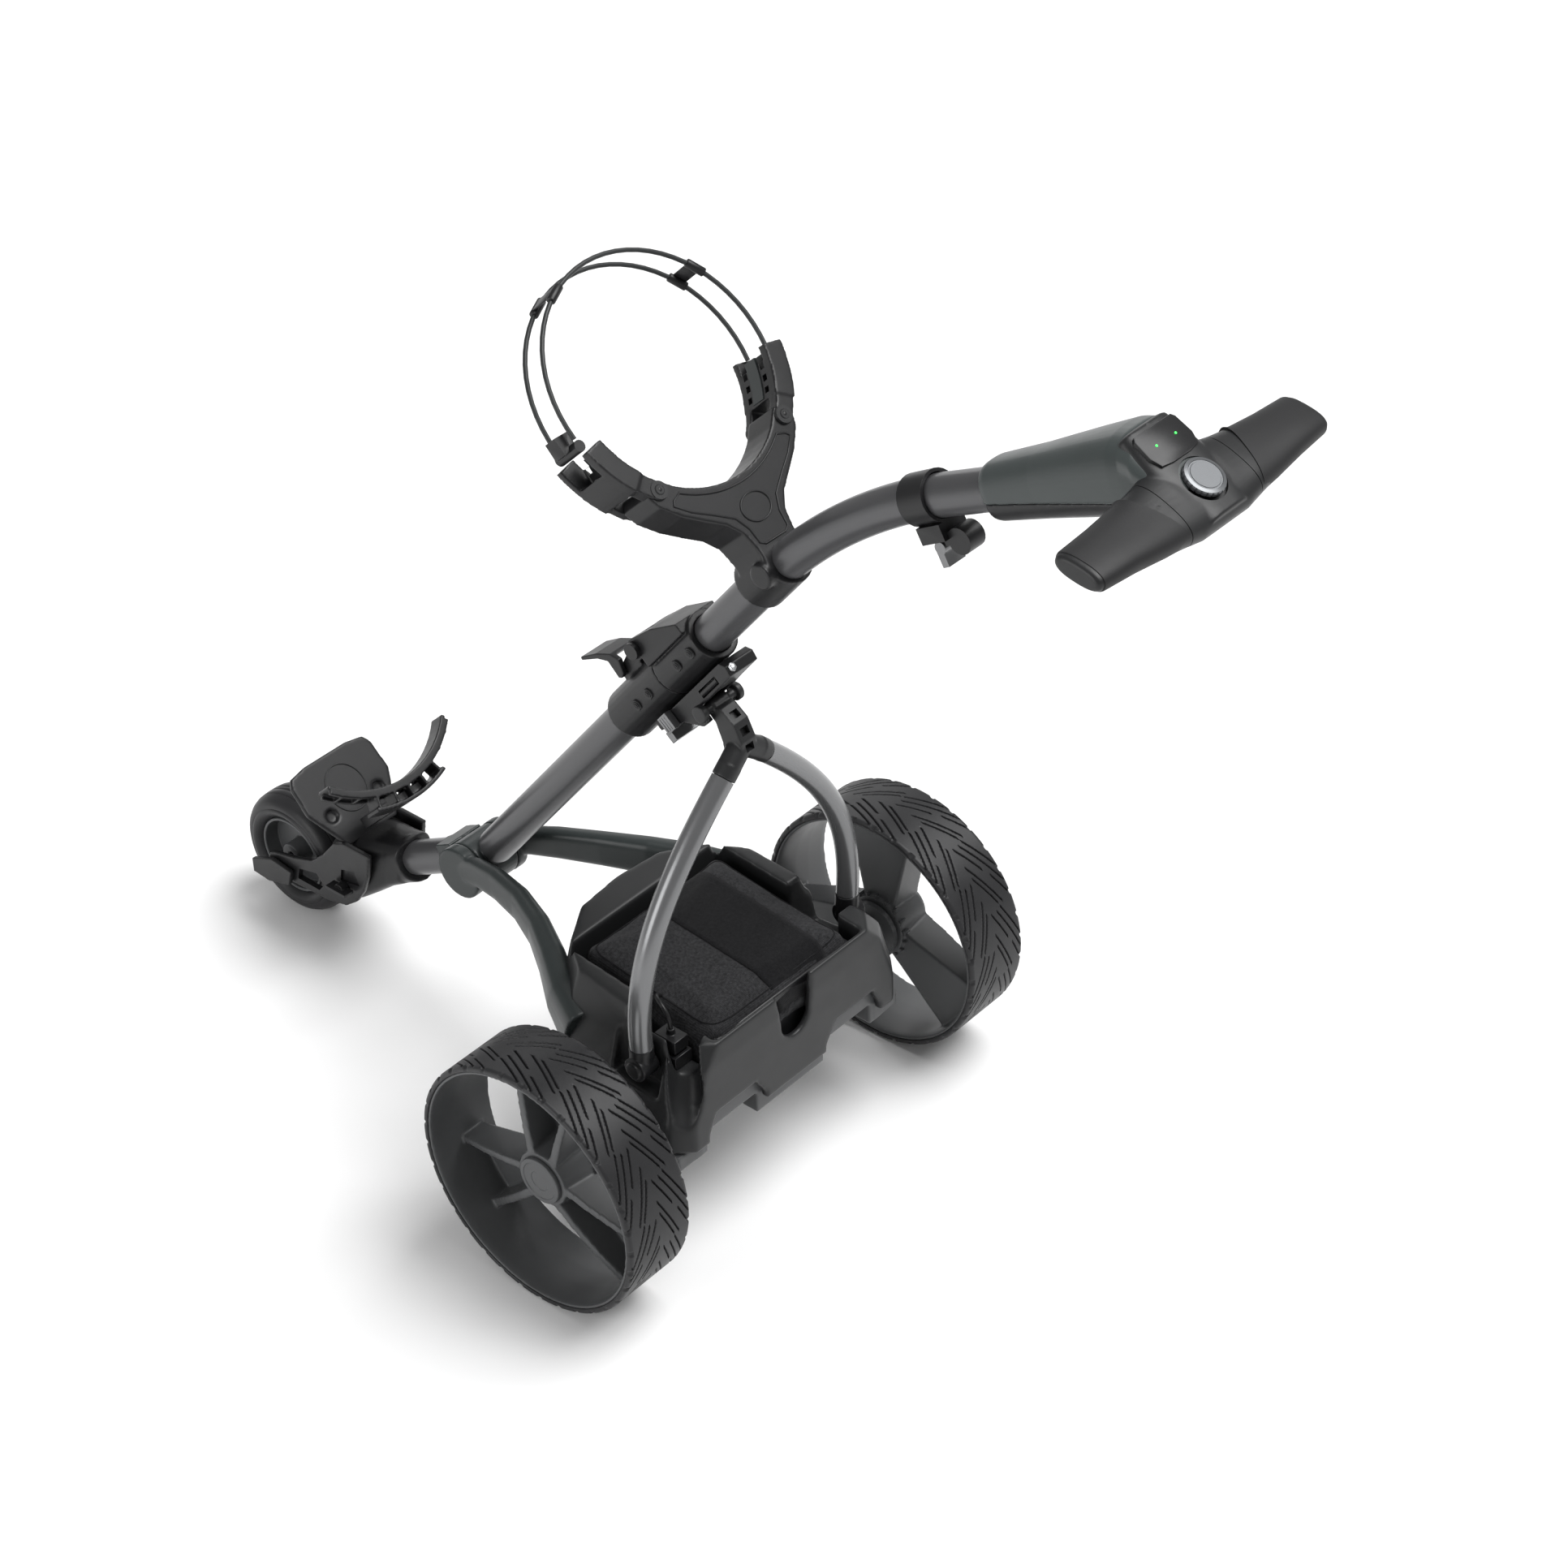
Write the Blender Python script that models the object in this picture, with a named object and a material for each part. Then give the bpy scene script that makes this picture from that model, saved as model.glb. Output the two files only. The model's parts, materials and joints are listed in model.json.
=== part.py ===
"""Electric golf trolley: the design model.

Units are metres, +Z is up, +X is the trolley's left side and -Y is the way it drives.
Every outline below is given in the trolley frame, whose zero is the ground under the
rear axle. A root empty moves that frame so that the origin is under the middle of the
object. Each moving body hangs on an empty that stands on its joint's axis.
"""
import math

import bmesh
import bpy
from mathutils import Matrix, Vector

# ---------------------------------------------------------------- driving dimensions
REAR_AXLE_Y = 0.0752  # rear axle, measured from the middle of the object's length
WHEELBASE = 0.630
REAR_RADIUS = 0.137
FRONT_RADIUS = 0.073
WHEEL_X = 0.254  # middle plane of a rear wheel
TUBE_R = 0.019  # frame tube
TUBE_WALL = 0.002
LEG_R = 0.0115  # rear leg tube
GAP = 0.0003  # between parts that touch

ELBOW = (-0.342, 0.1955)  # (y, z) of the main fold
LEG_FOOT = (0.025, 0.214)  # (y, z) of the leg pivots
FRAME_PITCH = 51.1  # degrees above level
COLLAR_SPOT = (-0.0632, 0.5400)  # (y, z) on the tube axis
HANDLE_PITCH = 26.0
BAG_PITCH = 43.9  # the golf bag's axis
BAG_RING = (-0.0573, 0.8596)  # (y, z) of the middle of the strap hoop
BAG_RING_R = 0.1204
STRAP_R = 0.00225
STRAP_HALF_GAP = 0.0157
BAR = (0.521, 0.970)  # (y, z) of the handlebar's middle
BAR_TILT = -26.0

# ------------------------------------------------------------------------ the finishes
GRAPHITE = ((0.125, 0.125, 0.130), 0.38, 0.75)
SILVER_GREY = ((0.235, 0.238, 0.242), 0.25, 0.80)
PLASTIC = ((0.040, 0.041, 0.043), 0.45, 0.0)
DARK_PLASTIC = ((0.020, 0.020, 0.022), 0.40, 0.0)
SLATE_PLASTIC = ((0.100, 0.118, 0.118), 0.42, 0.0)
RIM_PLASTIC = ((0.085, 0.086, 0.088), 0.42, 0.0)
RUBBER = ((0.032, 0.032, 0.034), 0.60, 0.0)
FABRIC = ((0.016, 0.016, 0.018), 0.90, 0.0)
STEEL = ((0.55, 0.56, 0.57), 0.25, 1.0)
DIAL_GREY = ((0.26, 0.27, 0.28), 0.35, 0.6)
CORD_RUBBER = ((0.028, 0.030, 0.031), 0.50, 0.0)


# ------------------------------------------------------------------- frames and bodies
def tilt(place, degrees, x=0.0):
    """Local X stays across; local Y runs along a line that climbs at the given angle."""
    turn = Matrix.Rotation(math.radians(degrees), 4, "X")
    return Matrix.Translation((x, place[0], place[1])) @ turn


LEVEL = Matrix.Identity(4)
COLLAR = tilt(COLLAR_SPOT, FRAME_PITCH)
HOOP = tilt(BAG_RING, BAG_PITCH)  # local Y along the bag, local Z up across it
BARS = tilt(BAR, BAR_TILT)


def clear_scene():
    for old in list(bpy.data.objects):
        bpy.data.objects.remove(old, do_unlink=True)


def make_body(name, y, z, x=0.0):
    empty = bpy.data.objects.new("body_" + name, None)
    bpy.context.collection.objects.link(empty)
    empty.location = (x, y, z)
    empty.hide_render = True
    if ROOT:
        empty.parent = ROOT[0]
    return empty


ROOT = []


def material(look):
    colour, roughness, metallic = look
    label = "finish_%02d_%02d_%02d" % tuple(round(100 * c) for c in colour)
    mat = bpy.data.materials.get(label) or bpy.data.materials.new(label)
    mat.use_nodes = True
    shader = mat.node_tree.nodes["Principled BSDF"]
    shader.inputs["Base Color"].default_value = (*colour, 1.0)
    shader.inputs["Roughness"].default_value = roughness
    shader.inputs["Metallic"].default_value = metallic
    return mat


# ------------------------------------------------------------------- shapes in a bmesh
def box(bm, low, high, place=LEVEL):
    low, high = Vector(low), Vector(high)
    size = Matrix.Diagonal((*(high - low), 1.0))
    bmesh.ops.create_cube(bm, size=1.0, matrix=place @ Matrix.Translation((low + high) / 2) @ size)


def rod(bm, start, end, radius, sides=24, place=LEVEL, end_radius=None):
    """A round bar between two points."""
    start, end = Vector(start), Vector(end)
    way = end - start
    turn = way.to_track_quat("Z", "Y").to_matrix().to_4x4()
    bmesh.ops.create_cone(
        bm,
        cap_ends=True,
        segments=sides,
        radius1=radius,
        radius2=radius if end_radius is None else end_radius,
        depth=way.length,
        matrix=place @ Matrix.Translation((start + end) / 2) @ turn,
    )


def prism(bm, outline, low, high, place=LEVEL):
    """An outline of (y, z) points, extruded along X."""
    face = bm.faces.new([bm.verts.new((low, y, z)) for y, z in outline])
    side = bmesh.ops.extrude_face_region(bm, geom=[face])
    moved = [v for v in side["geom"] if isinstance(v, bmesh.types.BMVert)]
    bmesh.ops.translate(bm, verts=moved, vec=(high - low, 0, 0))
    bmesh.ops.transform(bm, matrix=place, verts=moved + list(face.verts))


def ring(bm, profile, steps, place=LEVEL, turn=0.0):
    """A closed profile of (x, radius) points, spun about X."""
    verts = [bm.verts.new((x, r * math.sin(turn), -r * math.cos(turn))) for x, r in profile]
    edges = [bm.edges.new((verts[i - 1], verts[i])) for i in range(len(verts))]
    spun = bmesh.ops.spin(
        bm,
        geom=verts + edges,
        cent=(0, 0, 0),
        axis=(1, 0, 0),
        angle=2 * math.pi,
        steps=steps,
        use_merge=True,
    )
    new = set(verts) | {v for v in spun["geom_last"] if isinstance(v, bmesh.types.BMVert)}
    linked = set(new)
    stack = list(new)
    while stack:
        for edge in stack.pop().link_edges:
            for v in edge.verts:
                if v not in linked:
                    linked.add(v)
                    stack.append(v)
    bmesh.ops.transform(bm, matrix=place, verts=list(linked))


def loft(bm, loops):
    """Skin between loops that have the same number of points, with both ends closed."""
    rows = [[bm.verts.new(p) for p in loop] for loop in loops]
    for a, b in zip(rows, rows[1:]):
        for i in range(len(a)):
            bm.faces.new((a[i - 1], a[i], b[i], b[i - 1]))
    bm.faces.new(rows[0])
    bm.faces.new(rows[-1])


def round_loop(centre, across, up, half_x, high, low, count=20, power=2.6):
    """A soft-cornered loop; high and low are its reach along up and against it."""
    points = []
    for i in range(count):
        angle = 2 * math.pi * i / count
        c, s = math.cos(angle), math.sin(angle)
        x = math.copysign(abs(c) ** (2 / power), c) * half_x
        z = math.copysign(abs(s) ** (2 / power), s) * (high if s > 0 else low)
        points.append(Vector(centre) + Vector(across) * x + Vector(up) * z)
    return points


def solids(*shapes):
    bm = bmesh.new()
    for make, *values in shapes:
        make(bm, *values)
    return bm


# ------------------------------------------------------------------- shapes to objects
def mesh_object(name, bm):
    bmesh.ops.recalc_face_normals(bm, faces=bm.faces)
    mesh = bpy.data.meshes.new(name)
    bm.to_mesh(mesh)
    bm.free()
    obj = bpy.data.objects.new(name, mesh)
    bpy.context.collection.objects.link(obj)
    return obj


def hang(obj, body):
    obj.parent = body
    obj.matrix_parent_inverse = Matrix.Translation(-body.location)


def piece(name, body, look, base, join=None, cut=None, angle=35):
    """One named sub-part: a base shape, with others joined to it or cut from it."""
    obj = mesh_object(name, base)
    obj.data.materials.append(material(look))
    for bm, operation in ((join, "UNION"), (cut, "DIFFERENCE")):
        if bm is None:
            continue
        tool = mesh_object(name + "_" + operation.lower(), bm)
        tool.hide_render = True
        tool.display_type = "WIRE"
        tool.parent = obj
        change = obj.modifiers.new(operation.title(), "BOOLEAN")
        change.operation = operation
        change.object = tool
        change.solver = "EXACT"
        change.use_self = True
    obj.data.shade_smooth()
    obj.data.set_sharp_from_angle(angle=math.radians(angle))
    hang(obj, body)
    return obj


def path_piece(name, body, look, points, radius, wall=0.0, resolution=4):
    """A tube along a smooth row of points: hollow when it has a wall."""
    curve = bpy.data.curves.new(name, "CURVE")
    curve.dimensions = "3D"
    curve.bevel_depth = radius
    curve.bevel_resolution = resolution
    curve.use_fill_caps = wall == 0.0
    spline = curve.splines.new("POLY")
    spline.points.add(len(points) - 1)
    for knot, point in zip(spline.points, points):
        knot.co = (*point, 1.0)
    obj = bpy.data.objects.new(name, curve)
    bpy.context.collection.objects.link(obj)
    curve.materials.append(material(look))
    if wall:
        shell = obj.modifiers.new("Wall", "SOLIDIFY")
        shell.thickness = wall
        shell.offset = -1
    hang(obj, body)
    return obj


def bezier(a, b, c, d, steps):
    """Points along a cubic curve."""
    points = []
    for i in range(steps + 1):
        t = i / steps
        s = 1 - t
        points.append(
            Vector(a) * s**3 + Vector(b) * 3 * s * s * t + Vector(c) * 3 * s * t * t + Vector(d) * t**3
        )
    return points


def arc(centre, radius, first, last, steps):
    """(a, b) points along a circle, angles in degrees."""
    points = []
    for i in range(steps + 1):
        angle = math.radians(first + (last - first) * i / steps)
        points.append((centre[0] + radius * math.cos(angle), centre[1] + radius * math.sin(angle)))
    return points


# ------------------------------------------------------------------------- rear wheels
SPOKE_FRONT = 0.021
SPOKE_BACK = -0.019
WHEEL_STEPS = 48


def wheel_outline(points, degrees):
    """Turns (radial, sideways) points into (y, z) about the axle."""
    angle = math.radians(degrees)
    c, s = math.cos(angle), math.sin(angle)
    return [(r * c - t * s, r * s + t * c) for r, t in points]


def rear_wheel(side, label, body):
    middle = Matrix.Translation((side * WHEEL_X, 0, REAR_RADIUS)) @ Matrix.Diagonal((side, 1, 1, 1))
    facet = math.cos(math.pi / WHEEL_STEPS)
    tread = REAR_RADIUS / facet
    half_step = math.pi / WHEEL_STEPS
    tyre = [
        (-0.041, 0.1268), (-0.041, 0.1325), (-0.0375, 0.1362), (-0.029, tread),
        (0.029, tread), (0.0375, 0.1362), (0.041, 0.1325), (0.041, 0.1268),
    ]
    piece("tyre_" + label, body, RUBBER, solids((ring, tyre, WHEEL_STEPS, middle, half_step)))
    barrel = [(-0.0405, 0.1262), (0.0405, 0.1262), (0.0405, 0.1225), (0.038, 0.1205), (-0.0405, 0.1205)]
    spider = solids(
        (rod, (SPOKE_BACK, 0, 0), (SPOKE_FRONT, 0, 0), 0.1225, 48, middle),
        (rod, (-0.028, 0, 0), (0, 0, 0), 0.0355, 32, middle),
    )
    cuts = bmesh.new()
    for pair in (90, 210, 330):
        pocket = [(0.048, -0.0105), (0.112, -0.0270), (0.116, 0), (0.112, 0.0270), (0.048, 0.0105)]
        prism(cuts, wheel_outline(pocket, pair), 0.0015, 0.03, middle)
        prism(cuts, wheel_outline(pocket, pair), -0.03, -0.0025, middle)
        rim_arc = arc((0, 0), 0.1198, -41, 41, 8)
        window = [(0.0370, -0.0142)] + rim_arc + [(0.0370, 0.0142)]
        prism(cuts, wheel_outline(window, pair + 60), -0.03, 0.03, middle)
    rod(cuts, (-0.05, 0, 0), (0.05, 0, 0), 0.0065, 16, middle)
    rod(cuts, (0.0175, 0, 0), (0.05, 0, 0), 0.0265, 32, middle)
    base = solids((ring, barrel, WHEEL_STEPS, middle, half_step))
    piece("rim_" + label, body, RIM_PLASTIC, base, spider, cuts)


# ------------------------------------------------------------------ tray and the drive
TRAY_BACK = 0.087
TRAY_FLOOR = 0.166
MOTOR_Y = -0.0330
GEAR_TEETH = 28
PINION_TEETH = 15
GEAR_MODULE = 0.001535


def tray_top(y):
    """Height of the tray's rim, which falls towards the back."""
    return 0.2625 - (y + 0.106) * 0.095


def tray_loop(half_front, half_back, front, back, height, bow):
    """A plan outline with a bowed front edge; height is a number or a function of y."""
    corner = 0.020
    plan = [(half_back - corner, back), (half_back, back - corner)]
    plan += [(half_front, front + 0.045), (half_front * 0.80, front + 0.010)]
    plan += [(half_front * 0.45, front - bow * 0.75), (0.0, front - bow)]
    plan += [(-x, y) for x, y in reversed(plan[:-1])]
    rise = height if callable(height) else (lambda y: height)
    return [(x, y, rise(y)) for x, y in plan]


def tray_loops(grow=0.0):
    """The tray's outside, from its feet to its rim; grow moves every wall outwards."""
    g = grow
    return [
        tray_loop(0.150 + g, 0.168 + g, -0.118 - g, TRAY_BACK + g, 0.1310 - g, 0.012),
        tray_loop(0.152 + g, 0.168 + g, -0.124 - g, TRAY_BACK + g, 0.165, 0.020),
        tray_loop(0.140 + g, 0.150 + g, -0.128 - g, TRAY_BACK + g, 0.222, 0.025),
        tray_loop(0.124 + g, 0.130 + g, -0.126 - g, TRAY_BACK - 0.002 + g, lambda y: tray_top(y) + g, 0.022),
    ]


def tray(body):
    base = bmesh.new()
    loft(base, tray_loops())
    cut = solids(
        (box, (-0.108, -0.111, TRAY_FLOOR), (0.108, 0.0795, 0.32)),
        (box, (-0.145, -0.098, 0.10), (0.145, 0.0775, TRAY_FLOOR - 0.004)),
        (rod, (-0.20, 0, REAR_RADIUS), (0.20, 0, REAR_RADIUS), 0.0103, 20),
        (box, (0.103, -0.010, 0.205), (0.1335, 0.066, 0.30)),
        (rod, (0.118, 0.050, 0.250), (0.152, 0.079, 0.190), 0.0165, 20),
        (rod, (0.152, 0.079, 0.190), (0.170, 0.094, 0.1585), 0.0165, 20, LEVEL, 0.012),
    )
    for side in (-1, 1):
        box(cut, (side * 0.155 - 0.0165, LEG_FOOT[0] - 0.040, 0.186), (side * 0.155 + 0.05, 0.0475, 0.30))
        notch = [(0.045, 0.10), (0.045, 0.140), (0.060, 0.163), (0.117, 0.163), (0.128, 0.140), (0.128, 0.10)]
        verts = [cut.verts.new((side * x, 0.070, z)) for x, z in notch]
        face = cut.faces.new(verts)
        moved = bmesh.ops.extrude_face_region(cut, geom=[face])["geom"]
        moved = [v for v in moved if isinstance(v, bmesh.types.BMVert)]
        bmesh.ops.translate(cut, verts=moved, vec=(0, 0.05, 0))
    notch = [(-0.030, 0.30)] + arc((0, 0.206), 0.0205, 200, 340, 8) + [(0.030, 0.30)]
    face = cut.faces.new([cut.verts.new((x, 0.070, z)) for x, z in notch])
    moved = bmesh.ops.extrude_face_region(cut, geom=[face])["geom"]
    bmesh.ops.translate(cut, verts=[v for v in moved if isinstance(v, bmesh.types.BMVert)], vec=(0, 0.05, 0))
    piece("battery_tray", body, PLASTIC, base, None, cut)

    cover = solids((box, (-0.146, -0.099, 0.1130), (0.146, 0.077, 0.1305)))
    lip = solids((box, (-0.140, 0.058, 0.112), (0.140, 0.0769, 0.1610)))
    for side in (-1, 1):
        box(lip, (side * 0.1465 - 0.018, -0.100, 0.1125), (side * 0.1465 + 0.018, 0.0775, 0.1305))
    hollow = solids(
        (box, (-0.143, -0.095, 0.1160), (0.143, 0.056, 0.20)),
        (box, (-0.122, 0.050, 0.10), (-0.050, 0.09, 0.137)),
        (box, (0.050, 0.050, 0.10), (0.122, 0.09, 0.137)),
        (box, (-0.0506, -0.0556, 0.10), (-0.0174, 0.0306, 0.125)),
        (rod, (-0.20, 0, REAR_RADIUS), (0.20, 0, REAR_RADIUS), 0.0106, 20),
    )
    piece("tray_undercover", body, RIM_PLASTIC, cover, lip, hollow)


def gear_outline(teeth, phase):
    """A spur gear's outline, with a little backlash, in (y, z) about its own middle."""
    pitch_r = teeth * GEAR_MODULE / 2
    points = []
    for tooth in range(teeth):
        middle = phase + 2 * math.pi * tooth / teeth
        step = 2 * math.pi / teeth
        flank = ((-0.24, -1.25), (-0.10, 0.85), (0.10, 0.85), (0.24, -1.25))
        for share, reach in flank:
            r = pitch_r + reach * GEAR_MODULE
            angle = middle + share * step
            points.append((r * math.cos(angle), r * math.sin(angle)))
    return points


def drive(chassis, axle, rotor):
    centre = (0, REAR_RADIUS)
    motor_centre = (MOTOR_Y, REAR_RADIUS)
    piece("axle_shaft", axle, STEEL, solids(
        (rod, (-0.2685, *centre), (0.2685, *centre), 0.0060, 20)))
    at_axle = Matrix.Translation((0, *centre))
    gear = solids((prism, gear_outline(GEAR_TEETH, 0.0), -0.040, -0.028, at_axle))
    piece("drive_gear", axle, STEEL, gear, None, solids(
        (rod, (-0.05, *centre), (0.0, *centre), 0.0063, 20)))
    at_motor = Matrix.Translation((0, *motor_centre))
    half_tooth = math.pi / PINION_TEETH
    pinion = solids((prism, gear_outline(PINION_TEETH, half_tooth), -0.041, -0.027, at_motor))
    piece("motor_pinion", rotor, STEEL, pinion, solids(
        (rod, (-0.030, *motor_centre), (0.020, *motor_centre), 0.0030, 16)))
    piece("motor", chassis, DARK_PLASTIC, solids(
        (rod, (-0.0175, *motor_centre), (0.085, *motor_centre), 0.0205, 28)), solids(
        (rod, (0.080, *motor_centre), (0.096, *motor_centre), 0.0120, 20)), solids(
        (rod, (-0.03, *motor_centre), (0.0215, *motor_centre), 0.0040, 16)))
    case_top = TRAY_FLOOR - 0.0046
    gearbox = solids((box, (-0.050, -0.055, 0.1110), (-0.0180, 0.030, case_top)))
    sleeve = axle_sleeve(-1, 0.0490)
    piece("gearbox_case", chassis, RIM_PLASTIC, gearbox, sleeve, solids(
        (box, (-0.0475, -0.0525, 0.1130), (-0.0210, 0.0275, case_top - 0.0012)),
        (rod, (-0.30, *centre), (0.0, *centre), 0.0066, 20),
        (rod, (-0.030, *motor_centre), (0.0, *motor_centre), 0.0045, 16)))
    piece("axle_housing", chassis, RIM_PLASTIC, axle_sleeve(1, -0.0175), None, solids(
        (rod, (-0.05, *centre), (0.30, *centre), 0.0066, 20)))


def axle_sleeve(side, start):
    """The fixed sleeve round one side of the axle, with a bearing collar and a cover disc."""
    profile = [(start, 0.0100), (0.1690, 0.0100), (0.1690, 0.0165), (0.2175, 0.0165), (0.2175, 0.0305),
               (0.2230, 0.0305), (0.2230, 0.0066), (start, 0.0066)]
    return solids((ring, [(side * x, r) for x, r in profile], 32, Matrix.Translation((0, 0, REAR_RADIUS))))



# ---------------------------------------------------------------------- battery on top
BAG_HALF = 0.1045
BAG_FRONT = -0.1075
BAG_BACK = 0.0765


def battery(body):
    base = TRAY_FLOOR + 0.0005
    top_front = tray_top(BAG_FRONT) + 0.001
    top_back = tray_top(BAG_BACK) - 0.001
    outline = [(BAG_FRONT, base), (BAG_BACK, base), (BAG_BACK, top_back), (BAG_FRONT, top_front)]
    inner = [(BAG_FRONT + 0.004, base + 0.003), (BAG_BACK - 0.004, base + 0.003),
             (BAG_BACK - 0.004, top_back - 0.005), (BAG_FRONT + 0.004, top_front - 0.005)]
    bag_hollow = solids((prism, inner, -BAG_HALF + 0.004, BAG_HALF + 0.01))
    piece("battery_bag", body, FABRIC, solids((prism, outline, -BAG_HALF, BAG_HALF)), None, bag_hollow)
    piece("battery_case", body, DARK_PLASTIC, solids(
        (box, (-0.099, BAG_FRONT + 0.005, base + 0.0035), (0.096, BAG_BACK - 0.005, 0.2320))))
    strap_top = [(BAG_FRONT, top_front + GAP), (BAG_BACK, top_back + GAP),
                 (BAG_BACK, top_back + 0.0018), (BAG_FRONT, top_front + 0.0018)]
    piece("battery_strap", body, FABRIC, solids((prism, strap_top, -0.066, 0.012)))


def battery_connection(body):
    piece("power_socket", body, DARK_PLASTIC, solids(
        (box, (0.1095, 0.018, 0.2055), (0.1330, 0.050, 0.2200))), None, solids(
        (box, (0.1120, 0.022, 0.2080), (0.1290, 0.046, 0.24))))
    piece("battery_plug", body, DARK_PLASTIC, solids(
        (box, (0.1126, 0.0228, 0.2085), (0.1284, 0.0452, 0.2370))), solids(
        (box, (0.1110, 0.0205, 0.2225), (0.1300, 0.0475, 0.2370)),
        (rod, (0.1205, 0.034, 0.236), (0.1205, 0.034, 0.2435), 0.0042, 12)))
    route = bezier((0.1205, 0.034, 0.2439), (0.1205, 0.034, 0.268),
                   (0.1205, 0.006, 0.272), (0.1030, 0.006, 0.2582), 8)
    path_piece("battery_lead", body, RUBBER, route, 0.0022, 0.0, 2)


# ------------------------------------------------------------------------ front end
def arm_sections(side):
    """Middle, half width and half height of the arm, from the elbow to the tray."""
    stations = [
        (0.0305, -0.352, 0.1985, 0.0068, 0.0180),
        (0.0330, -0.320, 0.2085, 0.0085, 0.0185),
        (0.0430, -0.275, 0.2215, 0.0105, 0.0180),
        (0.0605, -0.225, 0.2290, 0.0120, 0.0185),
        (0.0820, -0.178, 0.2290, 0.0140, 0.0215),
        (0.1040, -0.138, 0.2235, 0.0160, 0.0280),
        (0.1170, -0.1215, 0.2150, 0.0170, 0.0340),
    ]
    loops = []
    for i, (x, y, z, half, rise) in enumerate(stations):
        before = Vector(stations[max(i - 1, 0)][:2])
        after = Vector(stations[min(i + 1, len(stations) - 1)][:2])
        way = (after - before).normalized()
        across = Vector((side * way.y, -way.x, 0))
        loops.append(round_loop((side * x, y, z), across, (0, 0, 1), half, rise, rise, 16, 3.4))
    return loops


def front_arms(body):
    for side, label in ((1, "left"), (-1, "right")):
        base = bmesh.new()
        loft(base, arm_sections(1))
        cheek = solids((rod, (0.0234, *ELBOW), (0.0372, *ELBOW), 0.0290, 32))
        cut = solids(
            (rod, (0.010, *ELBOW), (0.06, *ELBOW), 0.0053, 16),
            (rod, (0.0330, *ELBOW), (0.06, *ELBOW), 0.0105, 20),
            (rod, (-0.02, *ELBOW), (0.0234, *ELBOW), 0.060, 32),
        )
        loft(cut, tray_loops(0.0010))
        for bm in (base, cheek, cut):
            bmesh.ops.transform(bm, matrix=Matrix.Diagonal((side, 1, 1, 1)), verts=bm.verts)
        piece("arm_" + label, body, SLATE_PLASTIC, base, cheek, cut)
    piece("elbow_bolt", body, STEEL, solids(
        (rod, (-0.0335, *ELBOW), (0.0335, *ELBOW), 0.0050, 16)), solids(
        (rod, (0.0334, *ELBOW), (0.0364, *ELBOW), 0.0095, 6),
        (rod, (-0.0364, *ELBOW), (-0.0334, *ELBOW), 0.0095, 6)))


FRONT_PITCH = 28.4
FRONT_AXIS = (-0.3875, 0.1771)  # (y, z) where the front tube leaves its socket


def front_tube(body):
    place = tilt(FRONT_AXIS, FRONT_PITCH)
    points = [place @ Vector((0, -0.116 + 0.118 * i / 4, 0)) for i in range(5)]
    path_piece("front_tube", body, GRAPHITE, points, TUBE_R, TUBE_WALL, 8)
    saddle = solids((rod, (0, 0.0025, 0), (0, 0.040, 0), 0.0215, 24, place))
    more = solids(
        (rod, (0, -0.020, 0), (0, 0.010, 0), 0.0160, 24, place),
        (box, (-0.0230, 0.010, -0.026), (0.0230, 0.034, 0.0225), place),
    )
    cut = solids((rod, (-0.05, *ELBOW), (0.05, *ELBOW), 0.0290, 32))
    piece("front_socket", body, SLATE_PLASTIC, saddle, more, cut)


WHEEL_FRONT = (-WHEELBASE, FRONT_RADIUS)


def front_wheel(body):
    steps = 40
    place = Matrix.Translation((0, *WHEEL_FRONT))
    tread = FRONT_RADIUS / math.cos(math.pi / steps)
    half = math.pi / steps
    tyre = [
        (-0.0200, 0.0462), (-0.0270, 0.0530), (-0.0262, 0.0620), (-0.0200, 0.0695), (-0.0085, tread),
        (0.0085, tread), (0.0200, 0.0695), (0.0262, 0.0620), (0.0270, 0.0530), (0.0200, 0.0462),
    ]
    piece("front_tyre", body, RUBBER, solids((ring, tyre, steps, place, half)))
    rim = [(-0.0220, 0.0459), (0.0220, 0.0459), (0.0220, 0.0425), (-0.0220, 0.0425)]
    hub = solids(
        (rod, (-0.0030, 0, 0), (0.0030, 0, 0), 0.0440, 32, place),
        (rod, (-0.0225, 0, 0), (0.0225, 0, 0), 0.0140, 24, place),
    )
    bore = solids((rod, (-0.05, 0, 0), (0.05, 0, 0), 0.0046, 16, place))
    piece("front_rim", body, RIM_PLASTIC, solids((ring, rim, steps, place, half)), hub, bore)


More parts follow.
